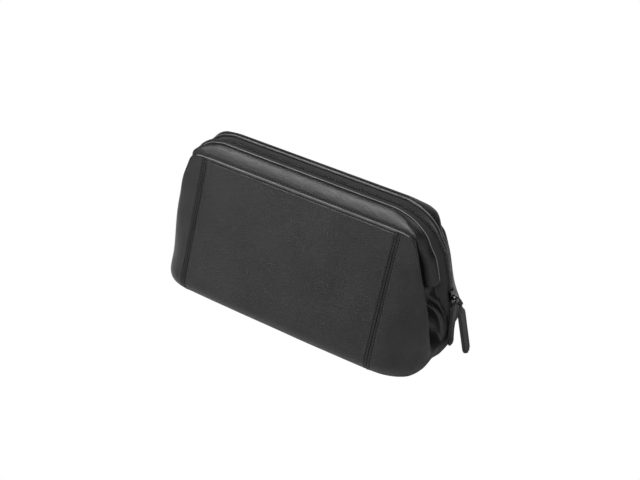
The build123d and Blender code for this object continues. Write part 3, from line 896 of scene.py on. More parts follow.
def leather_material(name, dark, light, rough):
    """Smooth black leather with a fine pebble and a satin finish."""
    material, shader, nodes, link = new_material(name, rough)
    shader.inputs["IOR"].default_value = 1.48
    place = object_place(nodes)
    cloudy = noise(nodes, link, place, 26.0, 3.0)
    patches = ramp(nodes, link, cloudy.outputs["Fac"], 0.35, 0.7)
    link(blend_colour(nodes, link, patches, dark, light), shader.inputs["Base Color"])
    worn = noise(nodes, link, place, 60.0)
    link(ramp(nodes, link, worn.outputs["Fac"], 0.3, 0.75, rough - 0.05, rough + 0.07),
         shader.inputs["Roughness"])
    warp = noise(nodes, link, place, 420.0, 2.0)
    shift = nodes.new("ShaderNodeVectorMath")
    shift.operation = "MULTIPLY_ADD"
    shift.inputs[1].default_value = (GRAIN_WARP, GRAIN_WARP, GRAIN_WARP)
    link(warp.outputs["Color"], shift.inputs[0])
    link(place, shift.inputs[2])
    grain = nodes.new("ShaderNodeTexVoronoi")
    grain.feature = "DISTANCE_TO_EDGE"
    grain.inputs["Scale"].default_value = 760.0
    link(shift.outputs["Vector"], grain.inputs["Vector"])
    layers = (
        (noise(nodes, link, place, 150.0, 3.0).outputs["Fac"], SOFT_BUMP),
        (noise(nodes, link, place, 520.0, 3.0, 0.6).outputs["Fac"], PEBBLE_BUMP),
        (ramp(nodes, link, grain.outputs["Distance"], 0.0, 0.22), CELL_BUMP),
        (noise(nodes, link, place, 2600.0, 2.0).outputs["Fac"], FINE_BUMP),
    )
    normal = None
    for height, (strength, distance) in layers:
        normal = bump(nodes, link, height, strength, distance, normal)
    link(normal, shader.inputs["Normal"])
    return material


def woven_material(name, tint, rough, scale, strength):
    """Woven cloth."""
    material, shader, nodes, link = new_material(name, rough)
    place = object_place(nodes)
    weave = None
    for axis in ("X", "Y", "Z"):
        wave = nodes.new("ShaderNodeTexWave")
        wave.bands_direction = axis
        wave.inputs["Scale"].default_value = scale
        wave.inputs["Distortion"].default_value = 0.4
        link(place, wave.inputs["Vector"])
        if weave is None:
            weave = wave.outputs["Fac"]
            continue
        higher = nodes.new("ShaderNodeMath")
        higher.operation = "MAXIMUM"
        link(weave, higher.inputs[0])
        link(wave.outputs["Fac"], higher.inputs[1])
        weave = higher.outputs[0]
    dark = tuple(c * 0.6 for c in tint)
    light = tuple(min(1.0, c * 1.25) for c in tint)
    link(blend_colour(nodes, link, weave, dark, light), shader.inputs["Base Color"])
    link(bump(nodes, link, weave, strength, 0.00015), shader.inputs["Normal"])
    shader.inputs["Sheen Weight"].default_value = 0.15
    shader.inputs["Specular IOR Level"].default_value = 0.3
    return material


def plain_material(name, tint, rough, metallic, scale, spread, height):
    """Metal, plastic, thread or board with a fine uneven surface."""
    material, shader, nodes, link = new_material(name, rough, metallic)
    cloud = noise(nodes, link, object_place(nodes), scale).outputs["Fac"]
    dark = tuple(c * (1.0 - spread) for c in tint)
    light = tuple(min(1.0, c * (1.0 + spread)) for c in tint)
    link(blend_colour(nodes, link, ramp(nodes, link, cloud, 0.3, 0.7), dark, light),
         shader.inputs["Base Color"])
    link(ramp(nodes, link, cloud, 0.3, 0.7, max(0.03, rough - 0.07), rough + 0.08),
         shader.inputs["Roughness"])
    link(bump(nodes, link, cloud, height, 0.00005), shader.inputs["Normal"])
    return material


def material_of(key):
    """The material of a finish, made once."""
    name = "Bag " + key
    found = bpy.data.materials.get(name)
    if found:
        return found
    colours = bpy.context.scene.wash_bag_colours
    if key in LEATHER_FINISHES:
        strength, rough = LEATHER_FINISHES[key]
        dark = tuple(strength * c for c in colours.leather_dark)
        light = tuple(strength * c for c in colours.leather_light)
        return leather_material(name, dark, light, rough)
    tint = getattr(colours, key)
    if key in WOVEN_FINISHES:
        return woven_material(name, tint, *WOVEN_FINISHES[key])
    material = plain_material(name, tint, *PLAIN_FINISHES[key])
    if key == "thread":
        shader = material.node_tree.nodes["Principled BSDF"]
        shader.inputs["Specular IOR Level"].default_value = THREAD_SPECULAR
    return material


def coat(obj, key):
    """Gives a piece its one material."""
    obj.data.materials.clear()
    obj.data.materials.append(material_of(key))


def soft(obj, side, key, *nodes):
    """Gives a soft piece its material, bakes its place and hides the parts it replaces."""
    coat(obj, key)
    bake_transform(obj)
    if nodes:
        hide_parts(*nodes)


def hard(obj, body, key, *nodes):
    """Finishes a piece that rides on one body."""
    coat(obj, key)
    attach(obj, body)
    if nodes:
        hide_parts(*nodes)


# Builders

def build_wall(m, side, depth, thickness, name, key, top_cut, node):
    """A long wall, or its lining, with its rolled lower edge."""
    track = wall_track(m, depth, 0.05, top_cut)
    half = m.panel_half_length - 0.05
    xs = spaced(-half, half, 0.3, 6.0, 3.4)
    verts = []
    for b, z, nb, nz in track:
        for x in xs:
            out = wall_swell(m, x, z, side) if z > 1.0 else 0.0
            if not depth and z < 1.0:
                out = -0.5 * seam_dent(b - m.base_half_width)
            elif not depth:
                out -= seam_dent(half - abs(x))
                out -= seam_dent((m.seam_height - z) / cos(m.lean))
            point = (x, side * (b + nb * out), max(UNDERSIDE, z + nz * out))
            verts.append(settle(m, point))
    shape, faces = thicken(verts, grid_faces(len(track), len(xs)), thickness, (0, 0, 60))
    soft(shade(new_piece(name, shape, faces)), side, key, node)


def build_end(m, end, side, depth, thickness, name, key, low, high, node):
    """Half of an end of the bag, or of its lining, with its folds."""
    lean = CORNER_LEAN[END_NAMES[end], SIDE_NAMES[side]]

    def row_at(z):
        section = end_section(m, z, lean, depth, side)
        return [(end * p.x, side * p.y, max(z, UNDERSIDE)) for p in section]

    lower = []
    if low <= 0.0:
        line = end_section(m, 0.0, lean, depth, side)
        for share in (1.0, 0.6, 0.25):
            row = []
            for p in line:
                q = base_point(m, p.x, p.y)
                flat = p.lerp(q, share)
                dent = 0.5 * seam_dent((flat - q).length)
                row.append((end * flat.x, side * flat.y, UNDERSIDE + dent))
            lower.append(row)
    turns = 9
    heights = [m.edge_radius * (1.0 - cos(pi / 2 * k / turns)) for k in range(turns)]
    lower_step = 1.9
    count = int((m.pivot_height - m.edge_radius) / lower_step)
    heights += [m.edge_radius + lower_step * k for k in range(count)]
    heights.append(m.pivot_height)
    if low > 0.0:
        heights = [low] + [z for z in heights if z > low + 0.6]
    lower += [row_at(z) for z in heights if z <= min(high, m.pivot_height) + 0.01]
    columns = len(lower[0])
    verts = [p for row in lower for p in row]
    faces = grid_faces(len(lower), columns)
    if high > m.pivot_height + 0.01:
        cut = columns - MIDDLE_STEPS
        upper = [lower[-1][:cut]]
        upper_step = 1.7
        z = m.pivot_height + upper_step
        while z < high - 0.8:
            upper.append(row_at(z))
            z += upper_step if z < high - 8.0 else 0.7
        upper.append(row_at(high))
        start = len(verts)
        verts += [p for row in upper for p in row]
        faces += [tuple(start + n for n in f) for f in grid_faces(len(upper), cut)]
    verts = [settle(m, v) for v in verts]
    shape, faces = thicken(verts, faces, thickness, (end * 60, 0, 60))
    soft(shade(new_piece(name, shape, faces)), side, key, node)


def band_point(station, side, b, h):
    """Point of a section across the zip."""
    x, z, nx, nz = station[:4]
    return Vector((x + nx * h, side * b, z + nz * h))


def build_band(m, side, rings, ending, angle, key, *nodes):
    """A closed band along the zip, from its rings."""
    verts, faces = sweep(rings)
    verts = [settle(m, v) for v in verts]
    name = SIDE_NAMES[side]
    soft(shade(new_piece(name + ending, verts, faces), angle), side, key, *nodes)


def build_collar(m, side):
    """Rounded leather band beside the zip, with closed, rounded feet."""
    rings = []
    for station in zip_stations(m, m.pivot_height + 5.2):
        rings.append([band_point(station, side, p.x, p.y) for p in collar_ring(station[4])])

    def foot(ring, end):
        centre = sum(ring, Vector((0, 0, 0))) / len(ring)
        way = Vector((end * sin(m.leg_lean), 0, -cos(m.leg_lean)))
        return [[centre + (p - centre) * size + way * travel for p in ring]
                for travel, size in COLLAR_FOOT]

    rings = list(reversed(foot(rings[0], LEFT))) + rings + foot(rings[-1], RIGHT)
    build_band(m, side, rings, "_collar_leather", 60.0, "leather", SIDE_NAMES[side] + "_collar")


def build_piping(m, side):
    """Thin folded edges of a collar: one along the zip, one on the seam of the top run."""
    stations = zip_stations(m, m.pivot_height + 7.0)
    top_run = [s for s in stations if s[4] < SEAM_PIPING_SHARE]
    parts = []
    for run, place, sizes in ((stations, 1, ZIP_PIPING), (top_run, -1, SEAM_PIPING)):
        radius, across, out = sizes
        line = []
        for station in run:
            p = collar_line(station[4])[place]
            line.append(settle(m, band_point(station, side, p.x + across, p.y + out)))
        parts.append(tube(line, radius, 8))
    verts, faces = joined(parts)
    name = SIDE_NAMES[side] + "_collar_piping"
    # Their bright colour is a painted highlight on both folded edges.
    soft(shade(new_piece(name, verts, faces), 60.0), side, "piping")


def build_sleeve(m, side):
    """Cloth sleeve that holds the spring frame under the collar."""
    rings = []
    for station in zip_stations(m, m.pivot_height + 12.0):
        line = band_line(SLEEVE_TOP, SLEEVE_LEG, [station[4]] * len(SLEEVE_TOP), 5)
        ring = line + list(reversed(side_step(line, -0.7)))
        rings.append([band_point(station, side, p.x, p.y) for p in ring])
    build_band(m, side, rings, "_sleeve_cloth", 50.0, "lining",
               SIDE_NAMES[side] + "_frame_sleeve")


def tape_anchor(station):
    """Section of the zip tape at one station, as half width and height over the zip line."""
    z, share = station[1], station[4]
    if share < 1.0 or z >= TAPE_FEET[0][0]:
        return [(mix(t[0], g[0], share), mix(t[1], g[1], share))
                for t, g in zip(TAPE_TOP, TAPE_LEG)]
    rows = TAPE_FEET[::-1]
    heights = [row[0] for row in rows]
    inset, bend, drop, edge, edge_drop = [
        monotone(heights, [row[k] for row in rows], z) for k in range(1, 6)]
    near, top = TAPE_TOP[0]
    near = min(near, bend * 0.5)
    return [(near, top - inset), (mix(near, bend, 0.55), top - inset - drop * 0.3),
            (bend, top - inset - drop), (edge, top - inset - edge_drop)]


def build_tape(m, side):
    """Woven zip tape of one side, from tab to tab."""
    rings = []
    for station in zip_stations(m, m.pivot_height - 32.0):
        line = rounded_line(tape_anchor(station), (3, 4, 4))
        ring = line + list(reversed(side_step(line, 0.8)))
        rings.append([band_point(station, side, p.x, p.y) for p in ring])
    build_band(m, side, rings, "_tape_cloth", 40.0, "tape", SIDE_NAMES[side] + "_zip_tape",
               "right_zip_end", "left_zip_end")


def build_teeth(m, side):
    """Coil of one side of the zip, as rounded teeth that reach between those of the other."""
    stations = zip_stations(m, m.pivot_height - 30.0)
    line = [settle(m, Vector((s[0], 0, s[1]))) for s in stations]
    outs = [Vector((s[2], 0, s[3])) for s in stations]
    across = Vector((0, side, 0))
    slider_foot = m.pivot_height - 15.0
    places = []
    start = 0.25 if side == FRONT else 0.75
    for p, _, out in along_line(line, outs, m.tooth_pitch, 0.0, start):
        if p.x < 0 or p.z >= slider_foot:
            places.append((p + across * 0.75 - out * 0.15, across, out))
    name = SIDE_NAMES[side]
    obj = repeat(name + "_coil", places, "tooth", TOOTH_SIZE, "teeth")
    soft(obj, side, "teeth", name + "_zip_teeth")


def base_outline(m, inset, steps):
    """Outline of the base, drawn in by a distance."""
    return rounded_corners(m.base_half_length - m.base_corner, m.base_half_width - m.base_corner,
                           m.base_corner - inset, steps)


def build_base(m):
    """Leather base, and its lining over the board."""
    for name, key, inset, low, high, node in (
            ("base_leather", "leather", 0.1, 0.12, 1.4, "base_panel"),
            ("base_cloth", "lining", 1.2, 3.85, 4.6, "base_lining")):
        radius = m.base_corner - inset
        ring = base_outline(m, inset, 12)
        rings = []
        for shrink, z in ((4.0, low), (0.5, low), (0.15, low + 0.1), (0.0, low + 0.35),
                          (0.0, high - 0.3), (0.15, high - 0.1), (0.5, high), (4.0, high)):
            share = (radius - shrink) / radius
            rings.append([Vector((x + dx * share, y + dy * share, z)) for x, y, dx, dy in ring])
        hard(shade(new_piece(name, *sweep(rings)), 40.0), "root", key, node)


def strip_piece(name, path, outs, halves, thickness, body, node):
    """A leather strip along a path, with rounded edges. Halves are its half widths."""
    rings = []
    sides = 7
    for p, out, half in zip(path, outs, halves):
        ring = []
        r = min(thickness / 2, half)
        for centre, start in ((half - r, -pi / 2), (-(half - r), pi / 2)):
            for k in range(sides):
                angle = start + pi * k / (sides - 1)
                ring.append(p + Vector((0, centre + r * cos(angle), 0)) + out * (r * sin(angle)))
        rings.append(ring)
    hard(shade(new_piece(name, *sweep(rings)), 60.0, 0.01), body, "leather", node)


def strip_stitches(m, name, path, outs, halves, thickness, inset, body, start, stop):
    """Stitches round the edge of a strip, on its outer face."""
    near = []
    far = []
    for n in range(start, stop):
        half = max(0.0, halves[n] - inset)
        lift = outs[n] * (thickness / 2)
        near.append(path[n] + Vector((0, -half, 0)) + lift)
        far.append(path[n] + Vector((0, half, 0)) + lift)
    normals = list(outs[start:stop])
    places = along_line(near + far[::-1], normals + normals[::-1], STRIP_PITCH)
    hard(repeat(name, places, "stitch", stitch_size(m), "thread"), body, "thread")


def stitch_size(m):
    """Length, width and height of a stitch."""
    return (m.stitch_length, m.stitch_width * 1.15, m.stitch_width)


def pull_path(m):
    """Centre line of the leather pull, from its ring down."""
    way = Vector((cos(PULL_SLOPE), 0, -sin(PULL_SLOPE)))
    out = Vector((sin(PULL_SLOPE), 0, cos(PULL_SLOPE)))
    full = m.pull_width / 2
    tip = m.pull_length - full
    neck_end = 10.5
    travel = [1.5 + 0.6 * k for k in range(14)]
    travel += [neck_end + 1.6 * k for k in range(int((tip - neck_end) / 1.6) + 1)]
    travel = [t for t in travel if t < tip]
    halves = [mix(1.75, full, smooth_share(t, 2.6, 9.5)) for t in travel]
    for k in range(9):
        angle = pi / 2 * (k / 8) * 0.985
        travel.append(tip + full * sin(angle))
        halves.append(max(0.35, full * cos(angle)))
    path = [PULL_EYE + way * t for t in travel]
    return path, [out] * len(path), halves


def build_pull(m):
    """Leather pull, folded round its ring and stitched along its edge."""
    path, outs, halves = pull_path(m)
    strip_piece("pull_leather", path, outs, halves, m.pull_thickness, "pull", "leather_pull")
    verts = []
    turns = 24
    for k in range(turns):
        angle = 2 * pi * k / turns
        way = Vector((cos(angle), 0, sin(angle)))
        for across, reach in EYE_SECTION:
            verts.append(PULL_EYE + way * reach + Vector((0, across, 0)))
    faces = grid_faces(turns, len(EYE_SECTION), True, True)
    hard(shade(new_piece("pull_eye", verts, faces), 60.0), "pull", "leather")
    strip_stitches(m, "pull_stitches", path, outs, halves, m.pull_thickness, 1.3, "pull",
                   13, len(path) - 2)


def tab_path(m, end):
    """Centre line of the leather tab over one zip end."""
    half = m.tab_thickness / 2
    line = rounded_line(TAB_LINES[end], (4, 7, 7, 8))
    path = []
    outs = []
    for n, p in enumerate(line):
        way = way_at(line, n)
        out = Vector((-way.y, 0, way.x))
        path.append(Vector((end * (p.x + out.x * half), 0, p.y + out.z * half)))
        outs.append(Vector((end * out.x, 0, out.z)))
    full = m.tab_width / 2
    total = line_length(path)
    halves = []
    travel = 0.0
    for n in range(len(path)):
        if n:
            travel += (path[n] - path[n - 1]).length
        top = min(1.0, travel / 2.5)
        left = max(0.0, min(1.0, (total - travel) / 2.0))
        width = full * (0.80 + 0.20 * sqrt(1 - (1 - top) ** 2))
        width *= mix(1.0, 0.66, travel / total) * (0.7 + 0.3 * sqrt(1 - (1 - left) ** 2))
        halves.append(width)
    return path, outs, halves


def build_tabs(m):
    """Leather tabs sewn over both ends of the zip."""
    for end in (RIGHT, LEFT):
        path, outs, halves = tab_path(m, end)
        name = END_NAMES[end]
        strip_piece(name + "_tab_leather", path, outs, halves, m.tab_thickness, "root",
                    name + "_zip_tab")
        strip_stitches(m, name + "_tab_stitches", path, outs, halves, m.tab_thickness, 1.5,
                       "root", 2, len(path) - 3)


def solid_outline(outline, low, high, round_by):
    """A plate from an outline of (along, across) points, with rounded edges."""
    bm = bmesh.new()
    bottom = [bm.verts.new((a, b, low)) for a, b in outline]
    top = [bm.verts.new((a, b, high)) for a, b in outline]
    bm.faces.new(list(reversed(bottom)))
    bm.faces.new(top)
    count = len(outline)
    for n in range(count):
        o = (n + 1) % count
        bm.faces.new((bottom[n], bottom[o], top[o], top[n]))
    edges = [e for e in bm.edges if abs(e.verts[0].co.z - e.verts[1].co.z) < 1e-6]
    bmesh.ops.bevel(bm, geom=edges, offset=round_by, segments=3, profile=0.5, affect="EDGES")
    bm.verts.index_update()
    verts = [v.co.copy() for v in bm.verts]
    faces = [tuple(v.index for v in f.verts) for f in bm.faces]
    bm.free()
    return verts, faces


def tube(points, radius, sides=10, closed=False, flat=1.0):
    """A round bar along points."""
    rings = []
    count = len(points)
    across = Vector((0, 1, 0))
    for n, p in enumerate(points):
        way = way_at(points, n)
        if closed:
            way = (points[(n + 1) % count] - points[n - 1]).normalized()
        side = across if abs(way.dot(across)) < 0.9 else Vector((1, 0, 0))
        u = (side - way * side.dot(way)).normalized()
        v = way.cross(u)
        rings.append([p + u * (radius * flat * cos(2 * pi * k / sides))
                      + v * (radius * sin(2 * pi * k / sides)) for k in range(sides)])
    if not closed:
        return sweep(rings)
    return [p for ring in rings for p in ring], grid_faces(count, sides, True, True)


def joined(parts):
    """Several meshes as one list of points and faces."""
    verts = []
    faces = []
    for v, f in parts:
        start = len(verts)
        verts += v
        faces += [tuple(start + n for n in face) for face in f]
    return verts, faces


def build_slider(m):
    """Zip slider: two plates, its rails and the arch for the ring."""
    lean = m.leg_lean
    along = Vector((-sin(lean), 0, cos(lean)))
    out = Vector((cos(lean), 0, sin(lean)))
    centre = Vector((m.leg_foot + SLIDER_DROP * tan(lean), 0, m.pivot_height - SLIDER_DROP))
    upper = SLIDER_PLATE + [(a, -b) for a, b in reversed(SLIDER_PLATE)]
    lower = [(a, b * 0.45) for a, b in upper]
    parts = [solid_outline(upper, 1.0, 2.2, 0.35), solid_outline(lower, -3.0, -1.9, 0.3)]
    for sign in (-1, 1):
        rail = [(a, sign * b) for a, b in SLIDER_RAIL]
        parts.append(solid_outline(rail[::-sign], -0.7, 1.3, 0.2))
    arch = []
    turns = 16
    for k in range(turns + 1):
        angle = pi * k / turns
        arch.append(Vector((-2.5 + 2.1 * cos(angle), 0, 2.0 + 3.0 * sin(angle) ** 0.8)))
    parts.append(tube(arch, 0.5, 12, False, 2.9))
    verts, faces = joined(parts)
    placed = [centre + along * v[0] + Vector((0, v[1], 0)) + out * v[2] for v in verts]
    hard(shade(new_piece("slider_metal", placed, faces), 45.0), "slider", "metal", "slider_body")


def build_link():
    """Wire ring between the slider and the leather pull."""
    half_length = (PULL_EYE - LINK_HINGE).length / 2
    way = (PULL_EYE - LINK_HINGE).normalized()
    outline = rounded_corners(half_length - LINK_CORNER, LINK_HALF_WIDTH - LINK_CORNER,
                              LINK_CORNER, 5)
    points = [LINK_HINGE + way * (half_length + x + dx) + Vector((0, y + dy, 0))
              for x, y, dx, dy in outline]
    verts, faces = tube(points, LINK_RADIUS, 10, True)
    hard(shade(new_piece("link_ring", verts, faces), 60.0), "link", "metal", "pull_link")


def on_wall(m, x, z, side, inward=0.0):
    """Place of a stitch on a long wall, and the direction outward there."""
    if z < m.wall_z:
        angle = acos(1.0 - z / m.edge_radius)
        nb, nz = sin(angle), -cos(angle)
    else:
        nb, nz = cos(m.lean), sin(m.lean)
    out = wall_swell(m, x, z, side) - STITCH_SINK
    b = wall_half_width(m, z) - inward
    return (settle(m, Vector((x, side * (b + nb * out), z + nz * out))),
            Vector((0, side * nb, nz)))


def build_body_stitches(m):
    """Double rows beside the upright seams, and the row under the top seam."""
    row = m.stitch_row
    top = m.seam_height - 3.4
    heights = [5.0 + 2.0 * k for k in range(int(m.seam_height)) if 5.0 + 2.0 * k < top]
    over = 6.0
    reach = m.panel_half_length + over
    steps = 80
    for side in (FRONT, BACK):
        rows = []
        for end in (RIGHT, LEFT):
            for offset in (-row, row):
                x = end * (m.panel_half_length + offset)
                rows.append([on_wall(m, x, z, side) for z in heights])
        under_seam = []
        for k in range(steps + 1):
            x = mix(-reach, reach, k / steps)
            beyond = max(0.0, abs(x) - m.panel_half_length) / over
            z = m.seam_height - row * cos(m.lean)
            under_seam.append(on_wall(m, x, z, side, 0.15 * beyond))
        rows.append(under_seam)
        places = []
        for stitches in rows:
            line, outs = zip(*stitches)
            places += along_line(line, outs, m.stitch_pitch)
        name = SIDE_NAMES[side] + "_body_stitches"
        soft(repeat(name, places, "stitch", stitch_size(m), "thread"), side, "thread")


def build_collar_stitches(m):
    """Rows along the zip edge and the seam edge of each collar."""
    stations = zip_stations(m, m.pivot_height + 7.0)
    zip_row = 2.2
    for side in (FRONT, BACK):
        places = []
        for from_zip, row in ((True, zip_row), (False, m.stitch_row)):
            line = []
            outs = []
            for station in stations:
                across = collar_line(station[4])
                if not from_zip:
                    across = across[::-1]
                travel = 0.0
                n = 0
                while travel < row:
                    n += 1
                    travel += (across[n] - across[n - 1]).length
                way = (across[n] - across[n - 1]).normalized() * (1 if from_zip else -1)
                line.append(settle(m, band_point(station, side, across[n].x, across[n].y)))
                outs.append(Vector((station[2] * way.x, side * -way.y, station[3] * way.x)))
            places += along_line(line, outs, m.stitch_pitch, 0.05)
        name = SIDE_NAMES[side] + "_collar_stitches"
        soft(repeat(name, places, "stitch", stitch_size(m), "thread"), side, "thread")


def build_wire(m, side):
    """Spring frame of one side. It settles and gives with the sleeve round it."""
    name = SIDE_NAMES[side]
    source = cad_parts[name + "_frame_wire"]
    place = source.matrix_world
    verts = [settle(m, (place @ v.co) / MM) for v in source.data.vertices]
    faces = [tuple(p.vertices) for p in source.data.polygons]
    obj = shade(new_piece(name + "_spring_wire", verts, faces), 40.0, 0.001)
    soft(obj, side, "steel", name + "_frame_wire")


def build_base_stitches(m):
    """Row round the base, seen from below."""
    line = [Vector((x + dx, y + dy, 0.2)) for x, y, dx, dy in base_outline(m, 2.4, 8)]
    line.append(line[0])
    outs = [Vector((0, 0, -1))] * len(line)
    places = along_line(line, outs, m.stitch_pitch * 1.3)
    hard(repeat("base_stitches", places, "stitch", BASE_STITCH_SIZE, "thread"), "root", "thread")


# Operators

class WASHBAG_OT_walls(bpy.types.Operator):
    """Build both long walls"""
    bl_idname = "wash_bag.walls"
    bl_label = "Long walls"

    def execute(self, context):
        m = Measures()
        for side in (FRONT, BACK):
            name = SIDE_NAMES[side]
            build_wall(m, side, 0.0, m.leather, name + "_wall", "leather", 0.1, name + "_panel")
        return {"FINISHED"}


class WASHBAG_OT_ends(bpy.types.Operator):
    """Build both folded ends"""
    bl_idname = "wash_bag.ends"
    bl_label = "Ends"

    def execute(self, context):
        m = Measures()
        for end in (RIGHT, LEFT):
            for side in (FRONT, BACK):
                name = END_NAMES[end] + "_end_" + SIDE_NAMES[side]
                build_end(m, end, side, 0.0, m.leather, name, "leather", 0.0, END_ROWS[-1][0],
                          END_NAMES[end] + "_gusset")
        return {"FINISHED"}


class WASHBAG_OT_linings(bpy.types.Operator):
    """Build the linings of the walls and ends"""
    bl_idname = "wash_bag.linings"
    bl_label = "Linings"

    def execute(self, context):
        m = Measures()
        for side in (FRONT, BACK):
            name = SIDE_NAMES[side]
            build_wall(m, side, m.lining_depth, m.lining, name + "_cloth", "lining", 6.0,
                       name + "_lining")
            for end in (RIGHT, LEFT):
                label = END_NAMES[end]
                build_end(m, end, side, m.lining_depth, m.lining, label + "_cloth_" + name,
                          "lining", 9.0, 57.0, label + "_gusset_lining")
        return {"FINISHED"}


class WASHBAG_OT_collars(bpy.types.Operator):
    """Build the rounded collars and the sleeves of the spring frames"""
    bl_idname = "wash_bag.collars"
    bl_label = "Collars"

    def execute(self, context):
        m = Measures()
        for side in (FRONT, BACK):
            build_collar(m, side)
            build_piping(m, side)
            build_sleeve(m, side)
        return {"FINISHED"}


class WASHBAG_OT_zip(bpy.types.Operator):
    """Build the zip tapes and the coil"""
    bl_idname = "wash_bag.zip"
    bl_label = "Zip"

    def execute(self, context):
        m = Measures()
        for side in (FRONT, BACK):
            build_tape(m, side)
            build_teeth(m, side)
        return {"FINISHED"}


class WASHBAG_OT_base(bpy.types.Operator):
    """Build the leather base and its lining"""
    bl_idname = "wash_bag.base"
    bl_label = "Base"

    def execute(self, context):
        build_base(Measures())
        return {"FINISHED"}


class WASHBAG_OT_tabs(bpy.types.Operator):
    """Build the leather tabs on the zip ends"""
    bl_idname = "wash_bag.tabs"
    bl_label = "Zip tabs"

    def execute(self, context):
        build_tabs(Measures())
        return {"FINISHED"}


class WASHBAG_OT_slider(bpy.types.Operator):
    """Build the slider and its ring"""
    bl_idname = "wash_bag.slider"
    bl_label = "Slider"

    def execute(self, context):
        build_slider(Measures())
        build_link()
        return {"FINISHED"}


class WASHBAG_OT_pull(bpy.types.Operator):
    """Build the leather pull"""
    bl_idname = "wash_bag.pull"
    bl_label = "Pull"

    def execute(self, context):
        build_pull(Measures())
        return {"FINISHED"}


class WASHBAG_OT_stitches(bpy.types.Operator):
    """Sew the seams of the body, the collars and the base"""
    bl_idname = "wash_bag.stitches"
    bl_label = "Stitches"

    def execute(self, context):
        m = Measures()
        build_body_stitches(m)
        build_collar_stitches(m)
        build_base_stitches(m)
        return {"FINISHED"}


class WASHBAG_OT_finishes(bpy.types.Operator):
    """Give the frame wires, rivets and board their finishes"""
    bl_idname = "wash_bag.finishes"
    bl_label = "Frame finishes"

    def execute(self, context):
        m = Measures()
        for side in (FRONT, BACK):
            build_wire(m, side)
        for node, key in (("right_pivot_rivet", "steel"), ("left_pivot_rivet", "steel"),
                          ("base_board", "board")):
            coat(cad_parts[node], key)
        return {"FINISHED"}


class WASHBAG_OT_stage(bpy.types.Operator):
    """Set the pale floor, the light and the camera"""
    bl_idname = "wash_bag.stage"
    bl_label = "Stage"

    def execute(self, context):
        build_stage()
        return {"FINISHED"}


def area_light(name, place, size, power):
    """A soft rectangular lamp that looks at the bag."""
    data = bpy.data.lights.new(name, "AREA")
    data.shape = "RECTANGLE"
    data.size, data.size_y = size
    data.energy = power
    obj = bpy.data.objects.new(name, data)
    bpy.context.scene.collection.objects.link(obj)
    obj.location = place
    aim = Vector(LAMP_TARGET) - Vector(place)
    obj.rotation_euler = aim.to_track_quat("-Z", "Y").to_euler()
    return obj


def white_behind(tree, shader_socket, output, white):
    """Shows plain white to the camera, and the shader to everything else."""
    nodes = tree.nodes
    path = nodes.new("ShaderNodeLightPath")
    both = nodes.new("ShaderNodeMixShader")
    tree.links.new(path.outputs["Is Camera Ray"], both.inputs[0])
    tree.links.new(shader_socket, both.inputs[1])
    tree.links.new(white, both.inputs[2])
    tree.links.new(both.outputs[0], output)


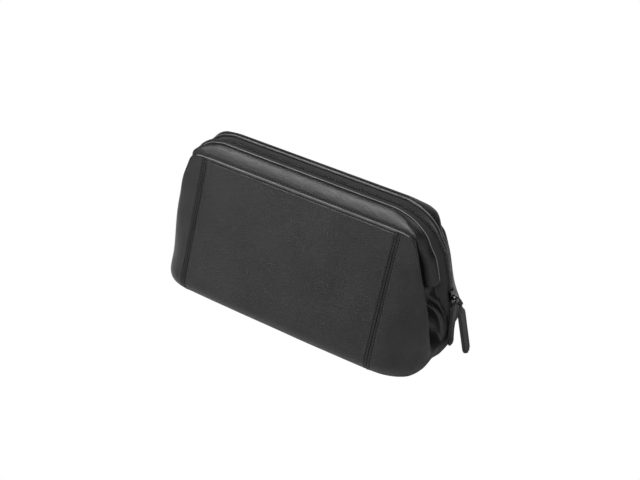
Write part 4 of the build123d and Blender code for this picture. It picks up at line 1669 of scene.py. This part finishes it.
def build_stage():
    """Floor, world, lamps and the camera of the picture."""
    scene = bpy.context.scene
    r = FLOOR_REACH
    floor = new_piece("floor", [(-r, -r, -0.3), (r, -r, -0.3), (r, r, -0.3), (-r, r, -0.3)],
                      [(0, 1, 2, 3)])
    material, paper, nodes = new_material("Floor", 0.9)[:3]
    paper.inputs["Base Color"].default_value = (0.55, 0.55, 0.55, 1.0)
    paper.inputs["Specular IOR Level"].default_value = 0.1
    plain = nodes.new("ShaderNodeEmission")
    plain.inputs["Color"].default_value = (1.0, 1.0, 1.0, 1.0)
    white_behind(material.node_tree, paper.outputs[0],
                 nodes["Material Output"].inputs["Surface"], plain.outputs[0])
    floor.data.materials.append(material)
    world = scene.world or bpy.data.worlds.new("World")
    scene.world = world
    world.use_nodes = True
    nodes = world.node_tree.nodes
    room = nodes["Background"]
    room.inputs["Color"].default_value = (0.80, 0.80, 0.82, 1.0)
    room.inputs["Strength"].default_value = 0.03
    sheet = nodes.new("ShaderNodeBackground")
    sheet.inputs["Color"].default_value = (1.0, 1.0, 1.0, 1.0)
    sheet.inputs["Strength"].default_value = 1.0
    white_behind(world.node_tree, room.outputs[0], nodes["World Output"].inputs["Surface"],
                 sheet.outputs[0])
    for lamp in LAMPS:
        area_light(*lamp)
    data = bpy.data.cameras.new("Camera")
    data.lens = CAMERA_LENS
    data.sensor_width = 36.0
    data.clip_start = 0.05
    data.clip_end = 20.0
    camera = bpy.data.objects.new("Camera", data)
    scene.collection.objects.link(camera)
    camera.location = CAMERA_PLACE
    camera.rotation_euler = CAMERA_TURN
    scene.camera = camera
    scene.view_settings.view_transform = "Standard"


OPERATORS = (
    WASHBAG_OT_walls, WASHBAG_OT_ends, WASHBAG_OT_linings, WASHBAG_OT_collars, WASHBAG_OT_zip,
    WASHBAG_OT_base, WASHBAG_OT_tabs, WASHBAG_OT_slider, WASHBAG_OT_pull, WASHBAG_OT_stitches,
    WASHBAG_OT_finishes, WASHBAG_OT_stage,
)


class WASHBAG_PT_panel(bpy.types.Panel):
    """Wash bag tools"""
    bl_label = "Wash Bag"
    bl_idname = "WASHBAG_PT_panel"
    bl_space_type = "VIEW_3D"
    bl_region_type = "UI"
    bl_category = "Wash Bag"

    def draw(self, context):
        column = self.layout.column()
        for operator in OPERATORS:
            column.operator(operator.bl_idname)
        for group, names in ((context.scene.wash_bag_sizes, BagSizes.__annotations__),
                             (context.scene.wash_bag_colours, BagColours.__annotations__)):
            box = self.layout.box()
            for name in names:
                box.prop(group, name)


CLASSES = (BagSizes, BagColours) + OPERATORS + (WASHBAG_PT_panel,)


def register():
    """Registers the classes and the settings of the scene."""
    for item in CLASSES:
        bpy.utils.register_class(item)
    bpy.types.Scene.wash_bag_sizes = bpy.props.PointerProperty(type=BagSizes)
    bpy.types.Scene.wash_bag_colours = bpy.props.PointerProperty(type=BagColours)


def unregister():
    """Takes the classes and the settings away again."""
    del bpy.types.Scene.wash_bag_colours
    del bpy.types.Scene.wash_bag_sizes
    for item in reversed(CLASSES):
        bpy.utils.unregister_class(item)


def main():
    """Builds the whole bag in order."""
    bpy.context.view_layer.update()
    register()
    for operator in OPERATORS:
        group, name = operator.bl_idname.split(".")
        getattr(getattr(bpy.ops, group), name)()


if __name__ == "__main__":
    main()
